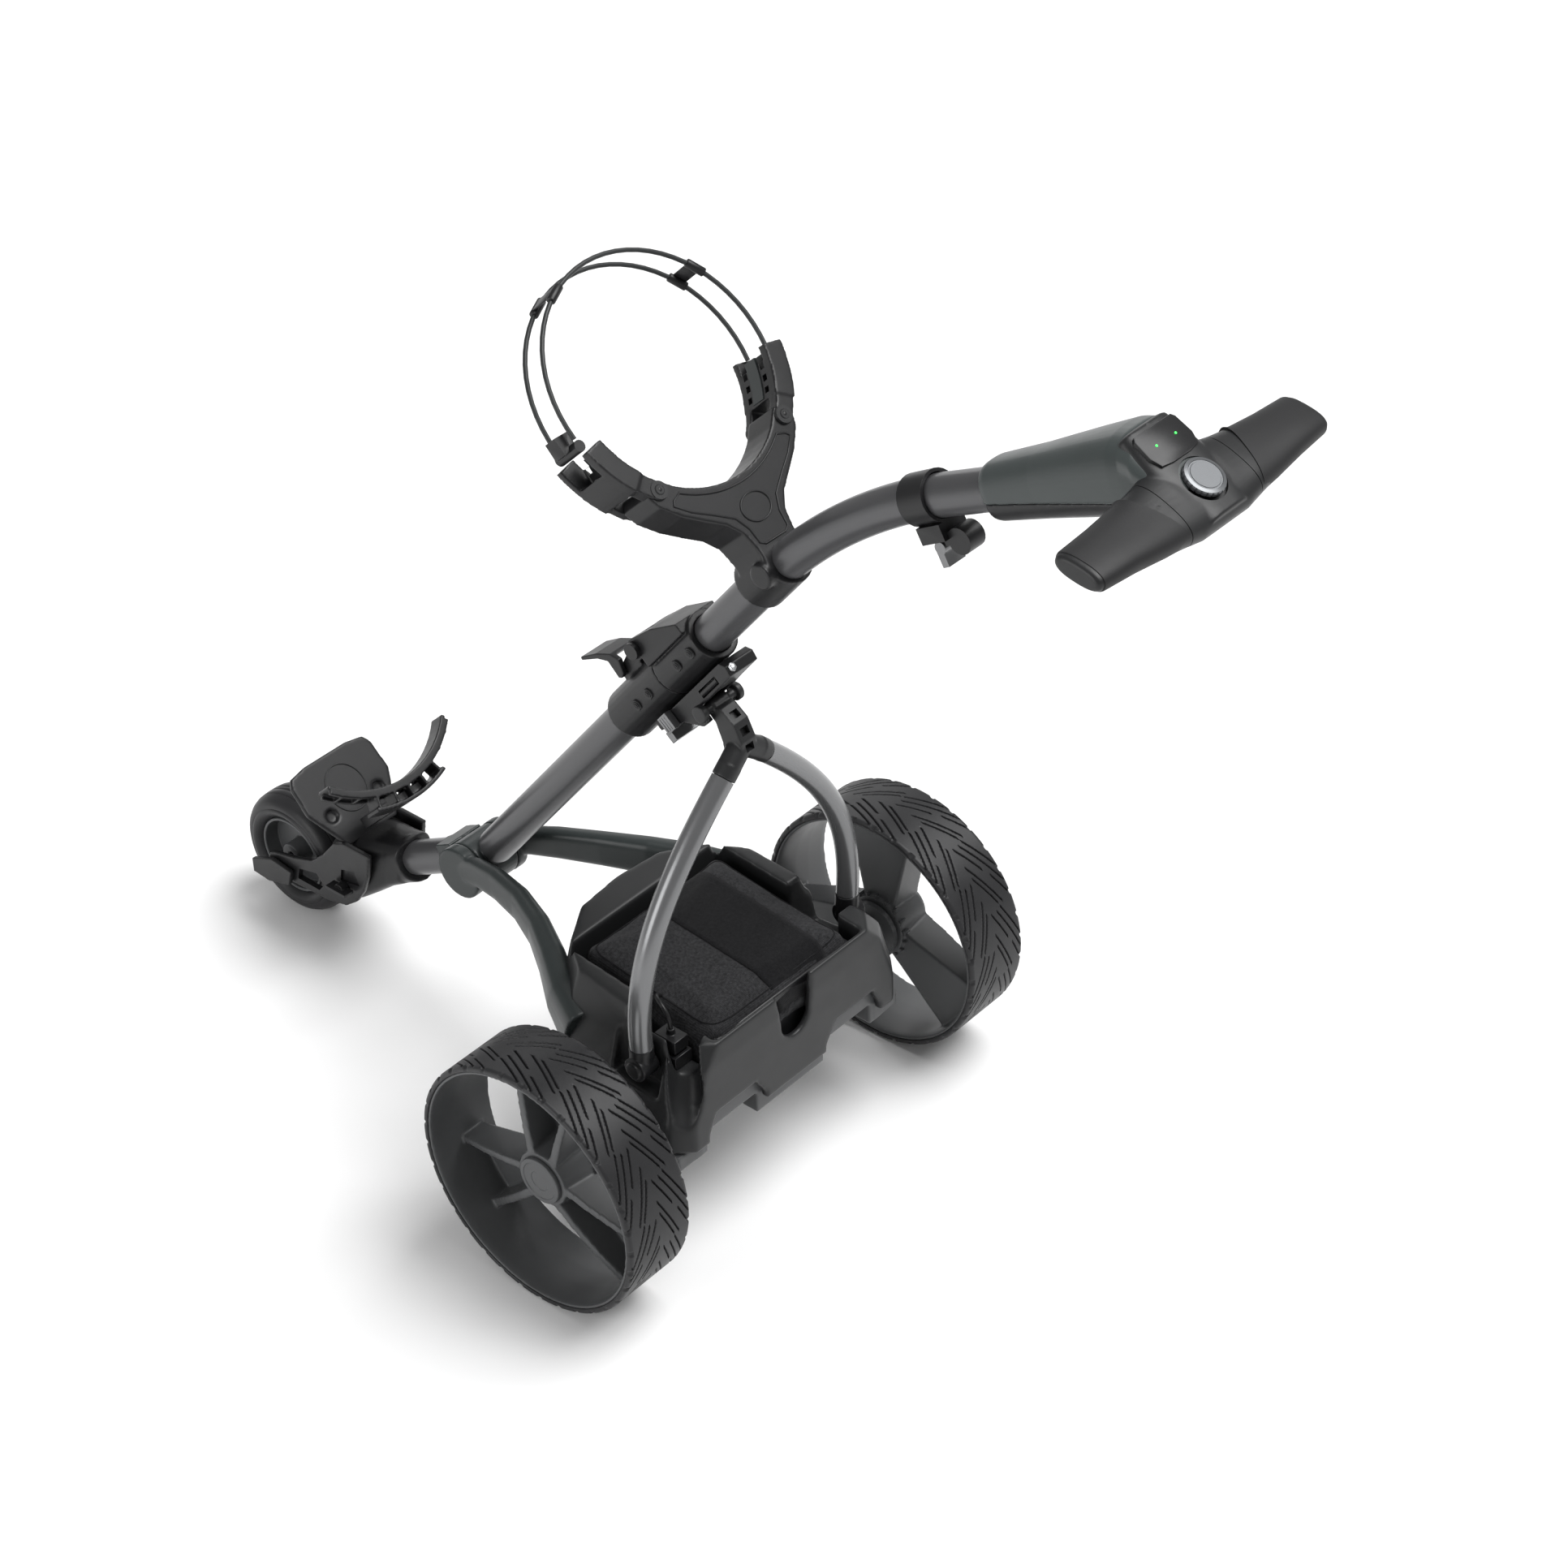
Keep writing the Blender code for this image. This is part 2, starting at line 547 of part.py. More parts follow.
def front_bracket(body):
    """The fork round the front wheel, the plate the bag stands on and the bag's lower rest."""
    place = tilt((-0.4790, 0.1276), FRONT_PITCH)
    neck = solids((rod, (0, -0.030, 0), (0, 0.018, 0), 0.0265, 28, place))
    more = solids((box, (-0.0430, -0.558, 0.062), (0.0430, -0.500, 0.150)))
    for side in (-1, 1):
        shape = [(-0.660, 0.056), (-0.648, 0.052), (-0.540, 0.060), (-0.505, 0.080), (-0.500, 0.150),
                 (-0.545, 0.150), (-0.575, 0.098), (-0.655, 0.088), (-0.662, 0.078)]
        prism(more, shape, side * 0.0375 - 0.0055, side * 0.0375 + 0.0055)
    cut = solids(
        (rod, (0, -0.015, 0), (0, 0.05, 0), TUBE_R + GAP, 28, place),
        (rod, (-0.0315, *WHEEL_FRONT), (0.0315, *WHEEL_FRONT), FRONT_RADIUS + 0.004, 32),
        (rod, (-0.06, *WHEEL_FRONT), (0.06, *WHEEL_FRONT), 0.0047, 16),
        (rod, (0.02, -0.519, 0.098), (0.06, -0.519, 0.098), 0.0032, 12),
        (box, (-0.07, -0.0065, -0.0485), (0.07, 0.0200, 0.0600), tilt((-0.5450, 0.1860), BAG_PITCH)),
    )
    bracket = piece("front_bracket", body, DARK_PLASTIC, neck, more, cut)
    axle = mesh_object("front_bracket_axle", solids(
        (rod, (-0.0445, *WHEEL_FRONT), (0.0435, *WHEEL_FRONT), 0.0042, 16),
        (rod, (-0.0425, *WHEEL_FRONT), (-0.0340, *WHEEL_FRONT), 0.0070, 16),
        (rod, (0.0340, *WHEEL_FRONT), (0.0425, *WHEEL_FRONT), 0.0070, 16)))
    axle.hide_render = True
    axle.display_type = "WIRE"
    axle.parent = bracket
    change = bracket.modifiers.new("Axle", "BOOLEAN")
    change.operation = "UNION"
    change.object = axle
    change.solver = "EXACT"
    change.use_self = True

    plate_place = tilt((-0.5450, 0.1860), BAG_PITCH)
    half = [(0.0300, 0.0480), (0.0520, 0.0440), (0.0585, 0.0330), (0.0590, 0.0000), (0.0360, -0.0480)]
    outline = half + [(-x, z) for x, z in reversed(half)]
    plate = bmesh.new()
    face = plate.faces.new([plate.verts.new((x, -0.0060, z)) for x, z in outline])
    moved = bmesh.ops.extrude_face_region(plate, geom=[face])["geom"]
    moved = [v for v in moved if isinstance(v, bmesh.types.BMVert)]
    bmesh.ops.translate(plate, verts=moved, vec=(0, 0.0060, 0))
    bmesh.ops.transform(plate, matrix=plate_place, verts=plate.verts)
    pockets = solids(
        (rod, (0.034, -0.004, -0.012), (0.034, 0.01, -0.012), 0.0075, 16, plate_place),
        (rod, (-0.034, -0.004, -0.012), (-0.034, 0.01, -0.012), 0.0075, 16, plate_place),
        (rod, (-0.0315, *WHEEL_FRONT), (0.0315, *WHEEL_FRONT), FRONT_RADIUS + 0.004, 32),
    )
    piece("bag_plate", body, PLASTIC, plate, None, pockets)

    rest = tilt((-0.5255, 0.2230), BAG_PITCH)
    inner, outer = 0.112, 0.122
    band = [(x, z) for x, z in arc((0, 0), inner, -134, -46, 14)]
    band += [(x, z) for x, z in arc((0, 0), outer, -45, -135, 14)]
    cradle = bmesh.new()
    face = cradle.faces.new([cradle.verts.new((x, 0.045, z + 0.080)) for x, z in band])
    moved = bmesh.ops.extrude_face_region(cradle, geom=[face])["geom"]
    moved = [v for v in moved if isinstance(v, bmesh.types.BMVert)]
    bmesh.ops.translate(cradle, verts=moved, vec=(0, 0.024, 0))
    bmesh.ops.transform(cradle, matrix=rest, verts=cradle.verts)
    ribs = solids(
        (box, (-0.0600, 0.046, -0.036), (-0.0560, 0.068, -0.0180), rest),
        (box, (0.0560, 0.046, -0.036), (0.0600, 0.068, -0.0180), rest),
        (box, (-0.0400, 0.047, -0.058), (0.0400, 0.067, -0.0370), rest),
    )
    clear = solids(
        (rod, (0, -0.05, 0), (0, 0.10, 0), TUBE_R + GAP, 28, place),
        (rod, (0, -0.040, 0), (0, 0.0183, 0), 0.0268, 28, place),
    )
    piece("lower_cradle", body, DARK_PLASTIC, cradle, ribs, clear)


def front_fittings(flap, nut):
    lever = [(-0.664, 0.052), (-0.640, 0.050), (-0.606, 0.060), (-0.600, 0.080), (-0.630, 0.084), (-0.664, 0.070)]
    piece("quick_release_flap", flap, DARK_PLASTIC, solids((prism, lever, 0.0450, 0.0505)))
    centre = (-0.519, 0.098)
    piece("wing_nut", nut, DARK_PLASTIC, solids(
        (rod, (0.0436, *centre), (0.0530, *centre), 0.0065, 16)), solids(
        (box, (0.0450, centre[0] - 0.0150, centre[1] - 0.0018), (0.0580, centre[0] + 0.0150, centre[1] + 0.0018)),
        (rod, (0.0280, *centre), (0.0440, *centre), 0.0028, 12)))


# --------------------------------------------------------------- folding lower frame
LOWER_RUN = (Vector(COLLAR_SPOT) - Vector(ELBOW)).length
# The hinge's pin: along the collar and in front of it. The collars part right under it.
HINGE = (0.0238, 0.0362)
CATCH = (0.0426, -0.0500)  # leg pin, in the same frame


def lower_frame(body, tab, latch):
    start = COLLAR @ Vector((0, 0.034 - LOWER_RUN, 0))
    end = COLLAR @ Vector((0, 0.0225, 0))
    points = [start.lerp(end, i / 3) for i in range(4)]
    path_piece("lower_tube", body, GRAPHITE, points, TUBE_R, TUBE_WALL, 8)
    way = (end - start).normalized()
    spigot_end = start + way * 0.030
    knuckle = solids((rod, (-0.0230, *ELBOW), (0.0230, *ELBOW), 0.0285, 32))
    piece("elbow_knuckle", body, SLATE_PLASTIC, knuckle, solids(
        (rod, (0, *ELBOW), tuple(spigot_end), 0.0160, 24)), solids(
        (rod, (-0.05, *ELBOW), (0.05, *ELBOW), 0.0053, 16)))

    pin_y, pin_z = HINGE
    collar = [(-0.0760, 0.0262), (0.0236, 0.0262), (0.0236, 0.0180), (-0.0760, 0.0180)]
    turned = COLLAR @ Matrix.Rotation(math.radians(90), 4, "Z")
    lug = [(-0.0362, 0.018), (-0.0362, 0.0368), (-0.0280, 0.0375), (0.014, 0.047), (0.026, 0.0465), (0.0332, 0.0375),
           (0.0310, 0.0300), (0.020, 0.0278), (-0.0012, 0.0275), (-0.0012, 0.018)]
    hole = (rod, (-0.05, pin_y, pin_z), (0.05, pin_y, pin_z), 0.0043, 16, COLLAR)
    bore = (rod, (0, -0.10, 0), (0, 0.03, 0), TUBE_R + GAP, 28, COLLAR)
    latch_pin = (rod, (-0.05, -0.030, 0.0315), (0.05, -0.030, 0.0315), 0.0023, 12, COLLAR)
    piece("lower_collar", body, DARK_PLASTIC, solids((ring, collar, 28, turned)), solids(
        (prism, lug, -0.0115, 0.0115, COLLAR)), solids(hole, bore, latch_pin))
    piece("hinge_pin", body, DARK_PLASTIC, solids(
        (rod, (-0.0280, pin_y, pin_z), (0.0280, pin_y, pin_z), 0.0040, 16, COLLAR)), solids(
        (rod, (0.0265, pin_y, pin_z), (0.0320, pin_y, pin_z), 0.0085, 20, COLLAR),
        (rod, (-0.0320, pin_y, pin_z), (-0.0265, pin_y, pin_z), 0.0085, 20, COLLAR)))

    cheek = [(-0.030, -0.0266), (0.1030, -0.0266), (0.1085, -0.0330), (0.1060, -0.0430), (0.0740, -0.0435),
             (0.0560, -0.0442), (0.0362, -0.0442), (0.0362, -0.0600), (0.0270, -0.0600), (0.0060, -0.0440),
             (-0.030, -0.0350)]
    slot = solids(
        (box, (-0.0112, 0.0150, -0.0640), (0.0112, 0.0660, -0.0300), COLLAR),
        (rod, (0, -0.10, 0), (0, 0.15, 0), 0.0266, 28, COLLAR),
        (box, (-0.013, -0.0245, -0.0460), (0.013, -0.0010, -0.0300), COLLAR),
    )
    piece("catch_bracket", body, DARK_PLASTIC, solids((prism, cheek, -0.0190, 0.0190, COLLAR)), None, slot)
    piece("release_tab", tab, SILVER_GREY, solids(
        (box, (-0.0125, -0.0225, -0.0415), (0.0125, -0.0030, -0.0310), COLLAR)), solids(
        (box, (-0.0105, -0.0225, -0.0530), (0.0240, -0.0130, -0.0403), COLLAR)), None)

    hook = [(-0.0350, 0.0290), (-0.0250, 0.0285), (-0.0180, 0.0420), (-0.0240, 0.0520), (-0.0420, 0.0620),
            (-0.0640, 0.0700), (-0.0650, 0.0665), (-0.0440, 0.0570), (-0.0330, 0.0480)]
    piece("hinge_latch", latch, DARK_PLASTIC, solids((prism, hook, -0.0180, 0.0180, COLLAR)), solids(
        (rod, (-0.0180, -0.030, 0.0315), (0.0180, -0.030, 0.0315), 0.0045, 16, COLLAR)), solids(
        (box, (-0.0122, -0.060, 0.00), (0.0122, 0.000, 0.0485), COLLAR),))


# --------------------------------------------------------------------- the rear legs
LEG_TOP = (0.029, 0.031, 0.484)


def rear_legs(body):
    catch = COLLAR @ Vector((0, *CATCH))
    for side, label in ((1, "left"), (-1, "right")):
        points = bezier((side * 0.1520, 0.0245, 0.2375), (side * 0.1600, 0.0265, 0.335),
                        (side * 0.1150, 0.0290, 0.405), (side * LEG_TOP[0], LEG_TOP[1], LEG_TOP[2]), 12)
        path_piece("leg_tube_" + label, body, SILVER_GREY, points, LEG_R, 0.0018, 4)
        way = (points[1] - points[0]).normalized()
        low = points[0] + way * 0.0004
        foot = solids((rod, tuple(low - way * 0.001), tuple(low - way * 0.0285), 0.0122, 20))
        more = solids(
            (rod, tuple(low + way * 0.020), tuple(low - way * 0.010), 0.0092, 16),
            (rod, (side * 0.1415, *LEG_FOOT), (side * 0.1640, *LEG_FOOT), 0.0130, 24),
            (rod, (side * 0.1640, *LEG_FOOT), (side * 0.1670, *LEG_FOOT), 0.0085, 20),
            (rod, (side * 0.1395, *LEG_FOOT), (side * 0.1420, *LEG_FOOT), 0.0060, 16),
        )
        piece("leg_foot_" + label, body, DARK_PLASTIC, foot, more)
    crotch = Vector((0, 0.0285, 0.5060))
    yoke = bmesh.new()
    more = bmesh.new()
    way = (points[-1] - points[-2]).normalized()
    for side, bm in ((1, yoke), (-1, more)):
        out = Vector((-side * way.x, way.y, way.z))
        top = Vector((side * LEG_TOP[0], LEG_TOP[1], LEG_TOP[2]))
        rod(bm, tuple(top + out * 0.0006), tuple(top + out * 0.0140), 0.0120, 20)
        rod(more, tuple(top + out * 0.0100), tuple(crotch - Vector((side * 0.003, 0, -0.003))), 0.0118, 20)
        rod(more, tuple(top - out * 0.0090), tuple(top + out * 0.0120), 0.0085, 16)
    neck = [(0.0395, 0.5000), (0.0390, 0.5150), (0.0300, 0.5330), (0.0140, 0.5445), (catch.y - 0.002, 0.5440),
            (catch.y - 0.0065, 0.5360), (0.0070, 0.5270), (0.0150, 0.5080), (0.0170, 0.4960)]
    prism(more, neck, -0.0104, 0.0104)
    rod(more, (-0.0104, catch.y, catch.z), (0.0104, catch.y, catch.z), 0.0068, 20)
    rod(more, (-0.0240, catch.y, catch.z), (0.0240, catch.y, catch.z), 0.0045, 16)
    rod(more, (0.0205, catch.y, catch.z), (0.0275, catch.y, catch.z), 0.0090, 20)
    rod(more, (-0.0275, catch.y, catch.z), (-0.0205, catch.y, catch.z), 0.0090, 20)
    piece("leg_yoke", body, PLASTIC, yoke, more)


# ------------------------------------------------------------------- folding handle
def handle_tube_points():
    """Straight out of the collar, one long bend, then straight into the handle."""
    start = COLLAR @ Vector((0, 0.0245, 0))
    first = math.radians(FRAME_PITCH)
    last = math.radians(HANDLE_PITCH)
    run = 0.1925
    points = [start + Vector((0, math.cos(first), math.sin(first))) * run * i / 3 for i in range(4)]
    radius = 0.610
    spot = points[-1]
    steps = 10
    step = (first - last) / steps
    for i in range(steps):
        pitch = first - step * (i + 0.5)
        spot = spot + Vector((0, math.cos(pitch), math.sin(pitch))) * radius * step
        points.append(spot)
    way = Vector((0, math.cos(last), math.sin(last)))
    points += [spot + way * 0.055, spot + way * 0.110]
    return points


def tube_place(points, distance):
    """A frame on the tube's axis at a distance from its start; local Y runs along it."""
    for a, b in zip(points, points[1:]):
        length = (b - a).length
        if distance <= length:
            break
        distance -= length
    way = (b - a).normalized()
    spot = a + way * distance
    return tilt((spot.y, spot.z), math.degrees(math.atan2(way.z, way.y)))


def upper_frame(body, lever):
    points = handle_tube_points()
    path_piece("upper_tube", body, GRAPHITE, points, TUBE_R, TUBE_WALL, 8)
    pin_y, pin_z = HINGE
    collar = [(0.0240, 0.0262), (0.1010, 0.0258), (0.1010, 0.0180), (0.0240, 0.0180)]
    turned = COLLAR @ Matrix.Rotation(math.radians(90), 4, "Z")
    ramp = [(pin_y - 0.0100, pin_z - 0.004), (pin_y - 0.0085, pin_z + 0.007), (pin_y, pin_z + 0.0108),
            (0.0600, 0.0400), (0.0960, 0.0262), (0.0960, 0.0150), (0.0242, 0.0150), (0.0242, 0.0268),
            (0.0160, 0.0285)]
    more = solids(
        (prism, ramp, 0.0120, 0.0262, COLLAR),
        (prism, ramp, -0.0262, -0.0120, COLLAR),
        (prism, [(0.046, 0.015), (0.046, 0.0440), (0.0600, 0.0400), (0.0960, 0.0262), (0.0960, 0.0150)],
         -0.0130, 0.0130, COLLAR),
    )
    cut = solids(
        (rod, (-0.05, pin_y, pin_z), (0.05, pin_y, pin_z), 0.0043, 16, COLLAR),
        (rod, (0, 0.0, 0), (0, 0.12, 0), TUBE_R + GAP, 28, COLLAR),
    )
    piece("upper_collar", body, DARK_PLASTIC, solids((ring, collar, 28, turned)), more, cut)

    at_clip = tube_place(points, 0.4295)
    band = [(-0.0150, 0.0232), (0.0150, 0.0232), (0.0150, TUBE_R), (-0.0150, TUBE_R)]
    quarter = Matrix.Rotation(math.radians(90), 4, "Z")
    more = solids(
        (box, (-0.0160, -0.0130, -0.0360), (0.0160, 0.0150, -0.0205), at_clip),
        (rod, (-0.0100, 0.0240, -0.0400), (0.0100, 0.0240, -0.0400), 0.0125, 20, at_clip),
        (box, (-0.0100, 0.0072, -0.0420), (0.0100, 0.0200, -0.0300), at_clip),
    )
    hollow = solids((rod, (0, -0.03, 0), (0, 0.03, 0), TUBE_R + 0.0009, 28, at_clip))
    piece("clip_ring", body, DARK_PLASTIC, solids((ring, band, 28, at_clip @ quarter)), more, hollow)
    piece("clip_lever", lever, SILVER_GREY, solids(
        (rod, (-0.0110, 0.0000, -0.0425), (0.0110, 0.0000, -0.0425), 0.0060, 16, at_clip)), solids(
        (box, (-0.0110, -0.0055, -0.0600), (0.0110, 0.0020, -0.0420), at_clip)))
    return points


# --------------------------------------------------------------- upper bag cradle
def cradle_outline():
    """The rest's outline across the bag: a cup on a neck on the clamp."""
    cup = arc((0, 0), 0.1075, -139, -41, 14)
    right = [(0.0880, -0.0780), (0.0905, -0.0920), (0.0840, -0.1040), (0.0600, -0.1240), (0.0400, -0.1400),
             (0.0290, -0.1560), (0.0260, -0.1750), (0.0300, -0.1880), (0.0300, -0.2260)]
    return cup + right + [(-x, z) for x, z in reversed(right)]


def across_prism(bm, outline, low, high, place):
    """An outline of (x, z) points in a tilted frame, extruded along that frame's Y."""
    face = bm.faces.new([bm.verts.new((x, low, z)) for x, z in outline])
    moved = bmesh.ops.extrude_face_region(bm, geom=[face])["geom"]
    moved = [v for v in moved if isinstance(v, bmesh.types.BMVert)]
    bmesh.ops.translate(bm, verts=moved, vec=(0, high - low, 0))
    bmesh.ops.transform(bm, matrix=place, verts=moved + list(face.verts))


CLAMP_RUN = 0.2065  # the clamp's middle, along the upper tube
SCREW = (0.0825, -0.0842)  # arm pivot, across and up in the hoop's frame


def upper_cradle(body, arm_bodies, strap, points):
    base = bmesh.new()
    across_prism(base, cradle_outline(), -0.0180, 0.0280, HOOP)
    cut = solids((rod, (0, -0.06, 0), (0, 0.06, 0), TUBE_R + 0.0010, 28, tube_place(points, CLAMP_RUN)))
    for side in (-1, 1):
        x, z = side * SCREW[0], SCREW[1]
        rod(cut, (x, -0.03, z), (x, 0.04, z), 0.0028, 12, HOOP)
        box(cut, (x - 0.016, 0.0152, z - 0.011), (x + 0.016, 0.04, z + 0.02), HOOP)
        box(cut, (x - 0.016, -0.04, z - 0.011), (x + 0.016, -0.0152, z + 0.02), HOOP)
        box(cut, (side * 0.098 - 0.010, -0.04, -0.1005), (side * 0.098 + 0.010, 0.04, -0.05), HOOP)
    piece("cradle_yoke", body, PLASTIC, base, None, cut)

    for side, label in ((1, "left"), (-1, "right")):
        x, z = side * SCREW[0], SCREW[1]
        # angles from the hoop's middle; the arm curves round the bag from its pivot
        inner = [(side * px, pz) for px, pz in arc((0, 0), 0.1085, -36, -11, 7)]
        outer = [(side * px, pz) for px, pz in arc((0, 0), 0.1290, -11, -36, 7)]
        arm = bmesh.new()
        across_prism(arm, inner + outer, -0.0260, 0.0290, HOOP)
        plate = [(side * px, pz) for px, pz in arc((0, 0), 0.1095, -44, -33, 3)]
        plate += [(side * px, pz) for px, pz in arc((0, 0), 0.1275, -33, -44, 3)]
        more = bmesh.new()
        for low, high in ((0.0156, 0.0284), (-0.0254, -0.0156)):
            across_prism(more, plate, low, high, HOOP)
            rod(more, (x, low + 0.0003, z), (x, high - 0.0003, z), 0.0088, 20, HOOP)
        rod(more, (x, -0.0250, z), (x, 0.0305, z), 0.0025, 12, HOOP)
        cut = solids(
            (box, (side * 0.1240 - 0.0205, -0.0188, -0.0480), (side * 0.1240 + 0.0205, 0.0188, -0.0150), HOOP),
        )
        piece("cradle_arm_" + label, arm_bodies[side], PLASTIC, arm, more, cut)


def bag_strap(strap):
    for label, offset in (("rear", STRAP_HALF_GAP), ("front", -STRAP_HALF_GAP)):
        hoop = arc((0, 0), BAG_RING_R, 191.3, -4.2, 34)
        points = [HOOP @ Vector((x, offset, z)) for x, z in hoop]
        path_piece("strap_cord_" + label, strap, CORD_RUBBER, points, STRAP_R, 0.0, 2)
    anchor = solids((box, (-0.1226, -0.0182, -0.0445), (-0.1156, 0.0182, -0.0262), HOOP))
    piece("strap_anchor", strap, CORD_RUBBER, anchor)
    x, z = BAG_RING_R, -0.0130
    hook = solids((rod, (x, -0.0178, z - 0.0030), (x, 0.0178, z - 0.0030), 0.0056, 16, HOOP))
    piece("strap_hook", strap, DARK_PLASTIC, hook, solids(
        (box, (x - 0.0040, -0.0080, z - 0.0030), (x + 0.0120, 0.0080, z + 0.0140), HOOP)))


# --------------------------------------------------------------------------- handle
SLEEVE = (0.3300, 0.8983)  # (y, z) where the handle's housing starts


def handle_loops():
    """Sections of the handle's neck from the tube to the crossbar."""
    place = tilt(SLEEVE, HANDLE_PITCH)
    axes = place.to_3x3()
    along, up = axes @ Vector((0, 1, 0)), axes @ Vector((0, 0, 1))
    stations = [
        # along, half width, reach up, reach down
        (0.000, 0.0255, 0.0260, 0.0262),
        (0.060, 0.0270, 0.0320, 0.0262),
        (0.110, 0.0290, 0.0370, 0.0258),
        (0.146, 0.0310, 0.0405, 0.0250),
        (0.178, 0.0360, 0.0310, 0.0200),
        (0.195, 0.0400, 0.0180, 0.0130),
    ]
    start = Vector((0, *SLEEVE))
    return [round_loop(start + along * s, (1, 0, 0), up, w, hi, lo, 24, 3.0) for s, w, hi, lo in stations]


def bar_loops(shrink=0.0):
    """Sections of the crossbar along X: waisted beside the middle, tapered to the ends."""
    axes = BARS.to_3x3()
    back, up = axes @ Vector((0, 1, 0)), axes @ Vector((0, 0, 1))
    stations = [
        (-0.1520, 0.0165, 0.0105), (-0.1480, 0.0190, 0.0125), (-0.1000, 0.0225, 0.0150),
        (-0.0720, 0.0240, 0.0160), (-0.0520, 0.0245, 0.0170), (-0.0300, 0.0330, 0.0210),
        (0.0300, 0.0330, 0.0210), (0.0520, 0.0245, 0.0170), (0.0720, 0.0240, 0.0160),
        (0.1000, 0.0225, 0.0150), (0.1480, 0.0190, 0.0125), (0.1520, 0.0165, 0.0105),
    ]
    middle = Vector((0, *BAR))
    return [
        round_loop(middle + Vector((x, 0, 0)), back, up, half - shrink, rise - shrink, rise - shrink, 20, 2.3)
        for x, half, rise in stations
    ]


def handle(body, points):
    place = tilt(SLEEVE, HANDLE_PITCH)
    tube_cut = solids((rod, (0, -0.02, 0), (0, 0.060, 0), TUBE_R + 0.0007, 28, place))
    split = -0.0090
    upper_cut = tube_cut.copy()
    box(upper_cut, (-0.1, -0.10, split - 0.20), (0.1, 0.30, split), place)
    box(upper_cut, (-0.1, 0.1262, -0.2), (0.1, 0.40, 0.2), place)
    neck = bmesh.new()
    loft(neck, handle_loops())
    piece("handle_upper_shell", body, SLATE_PLASTIC, neck, None, upper_cut)
    lower_cut = tube_cut.copy()
    box(lower_cut, (-0.1, -0.10, split - GAP), (0.1, 0.40, 0.20), place)
    box(lower_cut, (-0.1, 0.1450, -0.2), (0.1, 0.40, 0.2), place)
    neck = bmesh.new()
    loft(neck, handle_loops())
    piece("handle_lower_shell", body, DARK_PLASTIC, neck, None, lower_cut)
    tube_cut.free()

    bar = bmesh.new()
    loft(bar, bar_loops())
    neck = bmesh.new()
    loft(neck, handle_loops())
    keep = solids(
        (box, (-0.2, -0.05, -0.2), (0.2, 0.1265, 0.2), place),
        (box, (-0.2, -0.05, -0.2), (0.2, 0.1453, split), place),
        (rod, (0, 0.0, 0.0070), (0, 0.0, 0.06), 0.0205, 28, BARS),
        (rod, (0, 0.0, -0.004), (0, 0.0, 0.03), 0.0062, 16, BARS),
    )
    console = piece("console_bar", body, PLASTIC, bar, neck, keep)
    for side in (-1, 1):
        outline = grip_outline(side)
        groove = bmesh.new()
        across_plate(groove, outline, 0.0060, 0.05)
        tool = mesh_object("console_bar_grip_seat", groove)
        tool.hide_render = True
        tool.display_type = "WIRE"
        tool.parent = console
        change = console.modifiers.new("Grip seat", "BOOLEAN")
        change.operation = "DIFFERENCE"
        change.object = tool
        change.solver = "EXACT"
    for side, label in ((1, "left"), (-1, "right")):
        pad = bmesh.new()
        loft(pad, bar_loops(0.0006))
        cut = bmesh.new()
        box(cut, (-0.3, -0.3, -0.3), (0.3, 0.3, 0.0064), BARS)
        inner, outer = (0.0600, 0.1440)
        low = -0.3 if side > 0 else -inner - 0.0005
        high = inner + 0.0005 if side > 0 else 0.3
        box(cut, (low, -0.2, -0.2), (high, 0.2, 0.2), BARS)
        low = outer - 0.0005 if side > 0 else -0.3
        high = 0.3 if side > 0 else -outer + 0.0005
        box(cut, (low, -0.2, -0.2), (high, 0.2, 0.2), BARS)
        piece("grip_" + label, body, RUBBER, pad, None, cut)


def grip_outline(side):
    return [(side * 0.0600, -0.05), (side * 0.1440, -0.05), (side * 0.1440, 0.05), (side * 0.0600, 0.05)]


def across_plate(bm, outline, low, high):
    """An outline of (x, y) points in the crossbar's frame, extruded upwards."""
    face = bm.faces.new([bm.verts.new((x, y, low)) for x, y in outline])
    moved = bmesh.ops.extrude_face_region(bm, geom=[face])["geom"]
    moved = [v for v in moved if isinstance(v, bmesh.types.BMVert)]
    bmesh.ops.translate(bm, verts=moved, vec=(0, 0, high - low))
    bmesh.ops.transform(bm, matrix=BARS, verts=moved + list(face.verts))


def speed_dial(stem, dial):
    piece("dial_stem", stem, STEEL, solids(
        (rod, (0, 0, -0.0005), (0, 0, 0.0200), 0.0035, 16, BARS)), solids(
        (rod, (0, 0, 0.0105), (0, 0, 0.0130), 0.0100, 20, BARS)))
    knob = solids(
        (rod, (0, 0, 0.0134), (0, 0, 0.0230), 0.0190, 30, BARS))
    more = solids((rod, (0, 0, 0.0225), (0, 0, 0.0280), 0.0178, 30, BARS, 0.0165))
    cut = solids((rod, (0, 0, 0.01), (0, 0, 0.0210), 0.0039, 16, BARS))
    piece("speed_dial", dial, DIAL_GREY, knob, more, cut)


# --------------------------------------------------------------------------- assembly
def world(place, local):
    return place @ Vector(local)


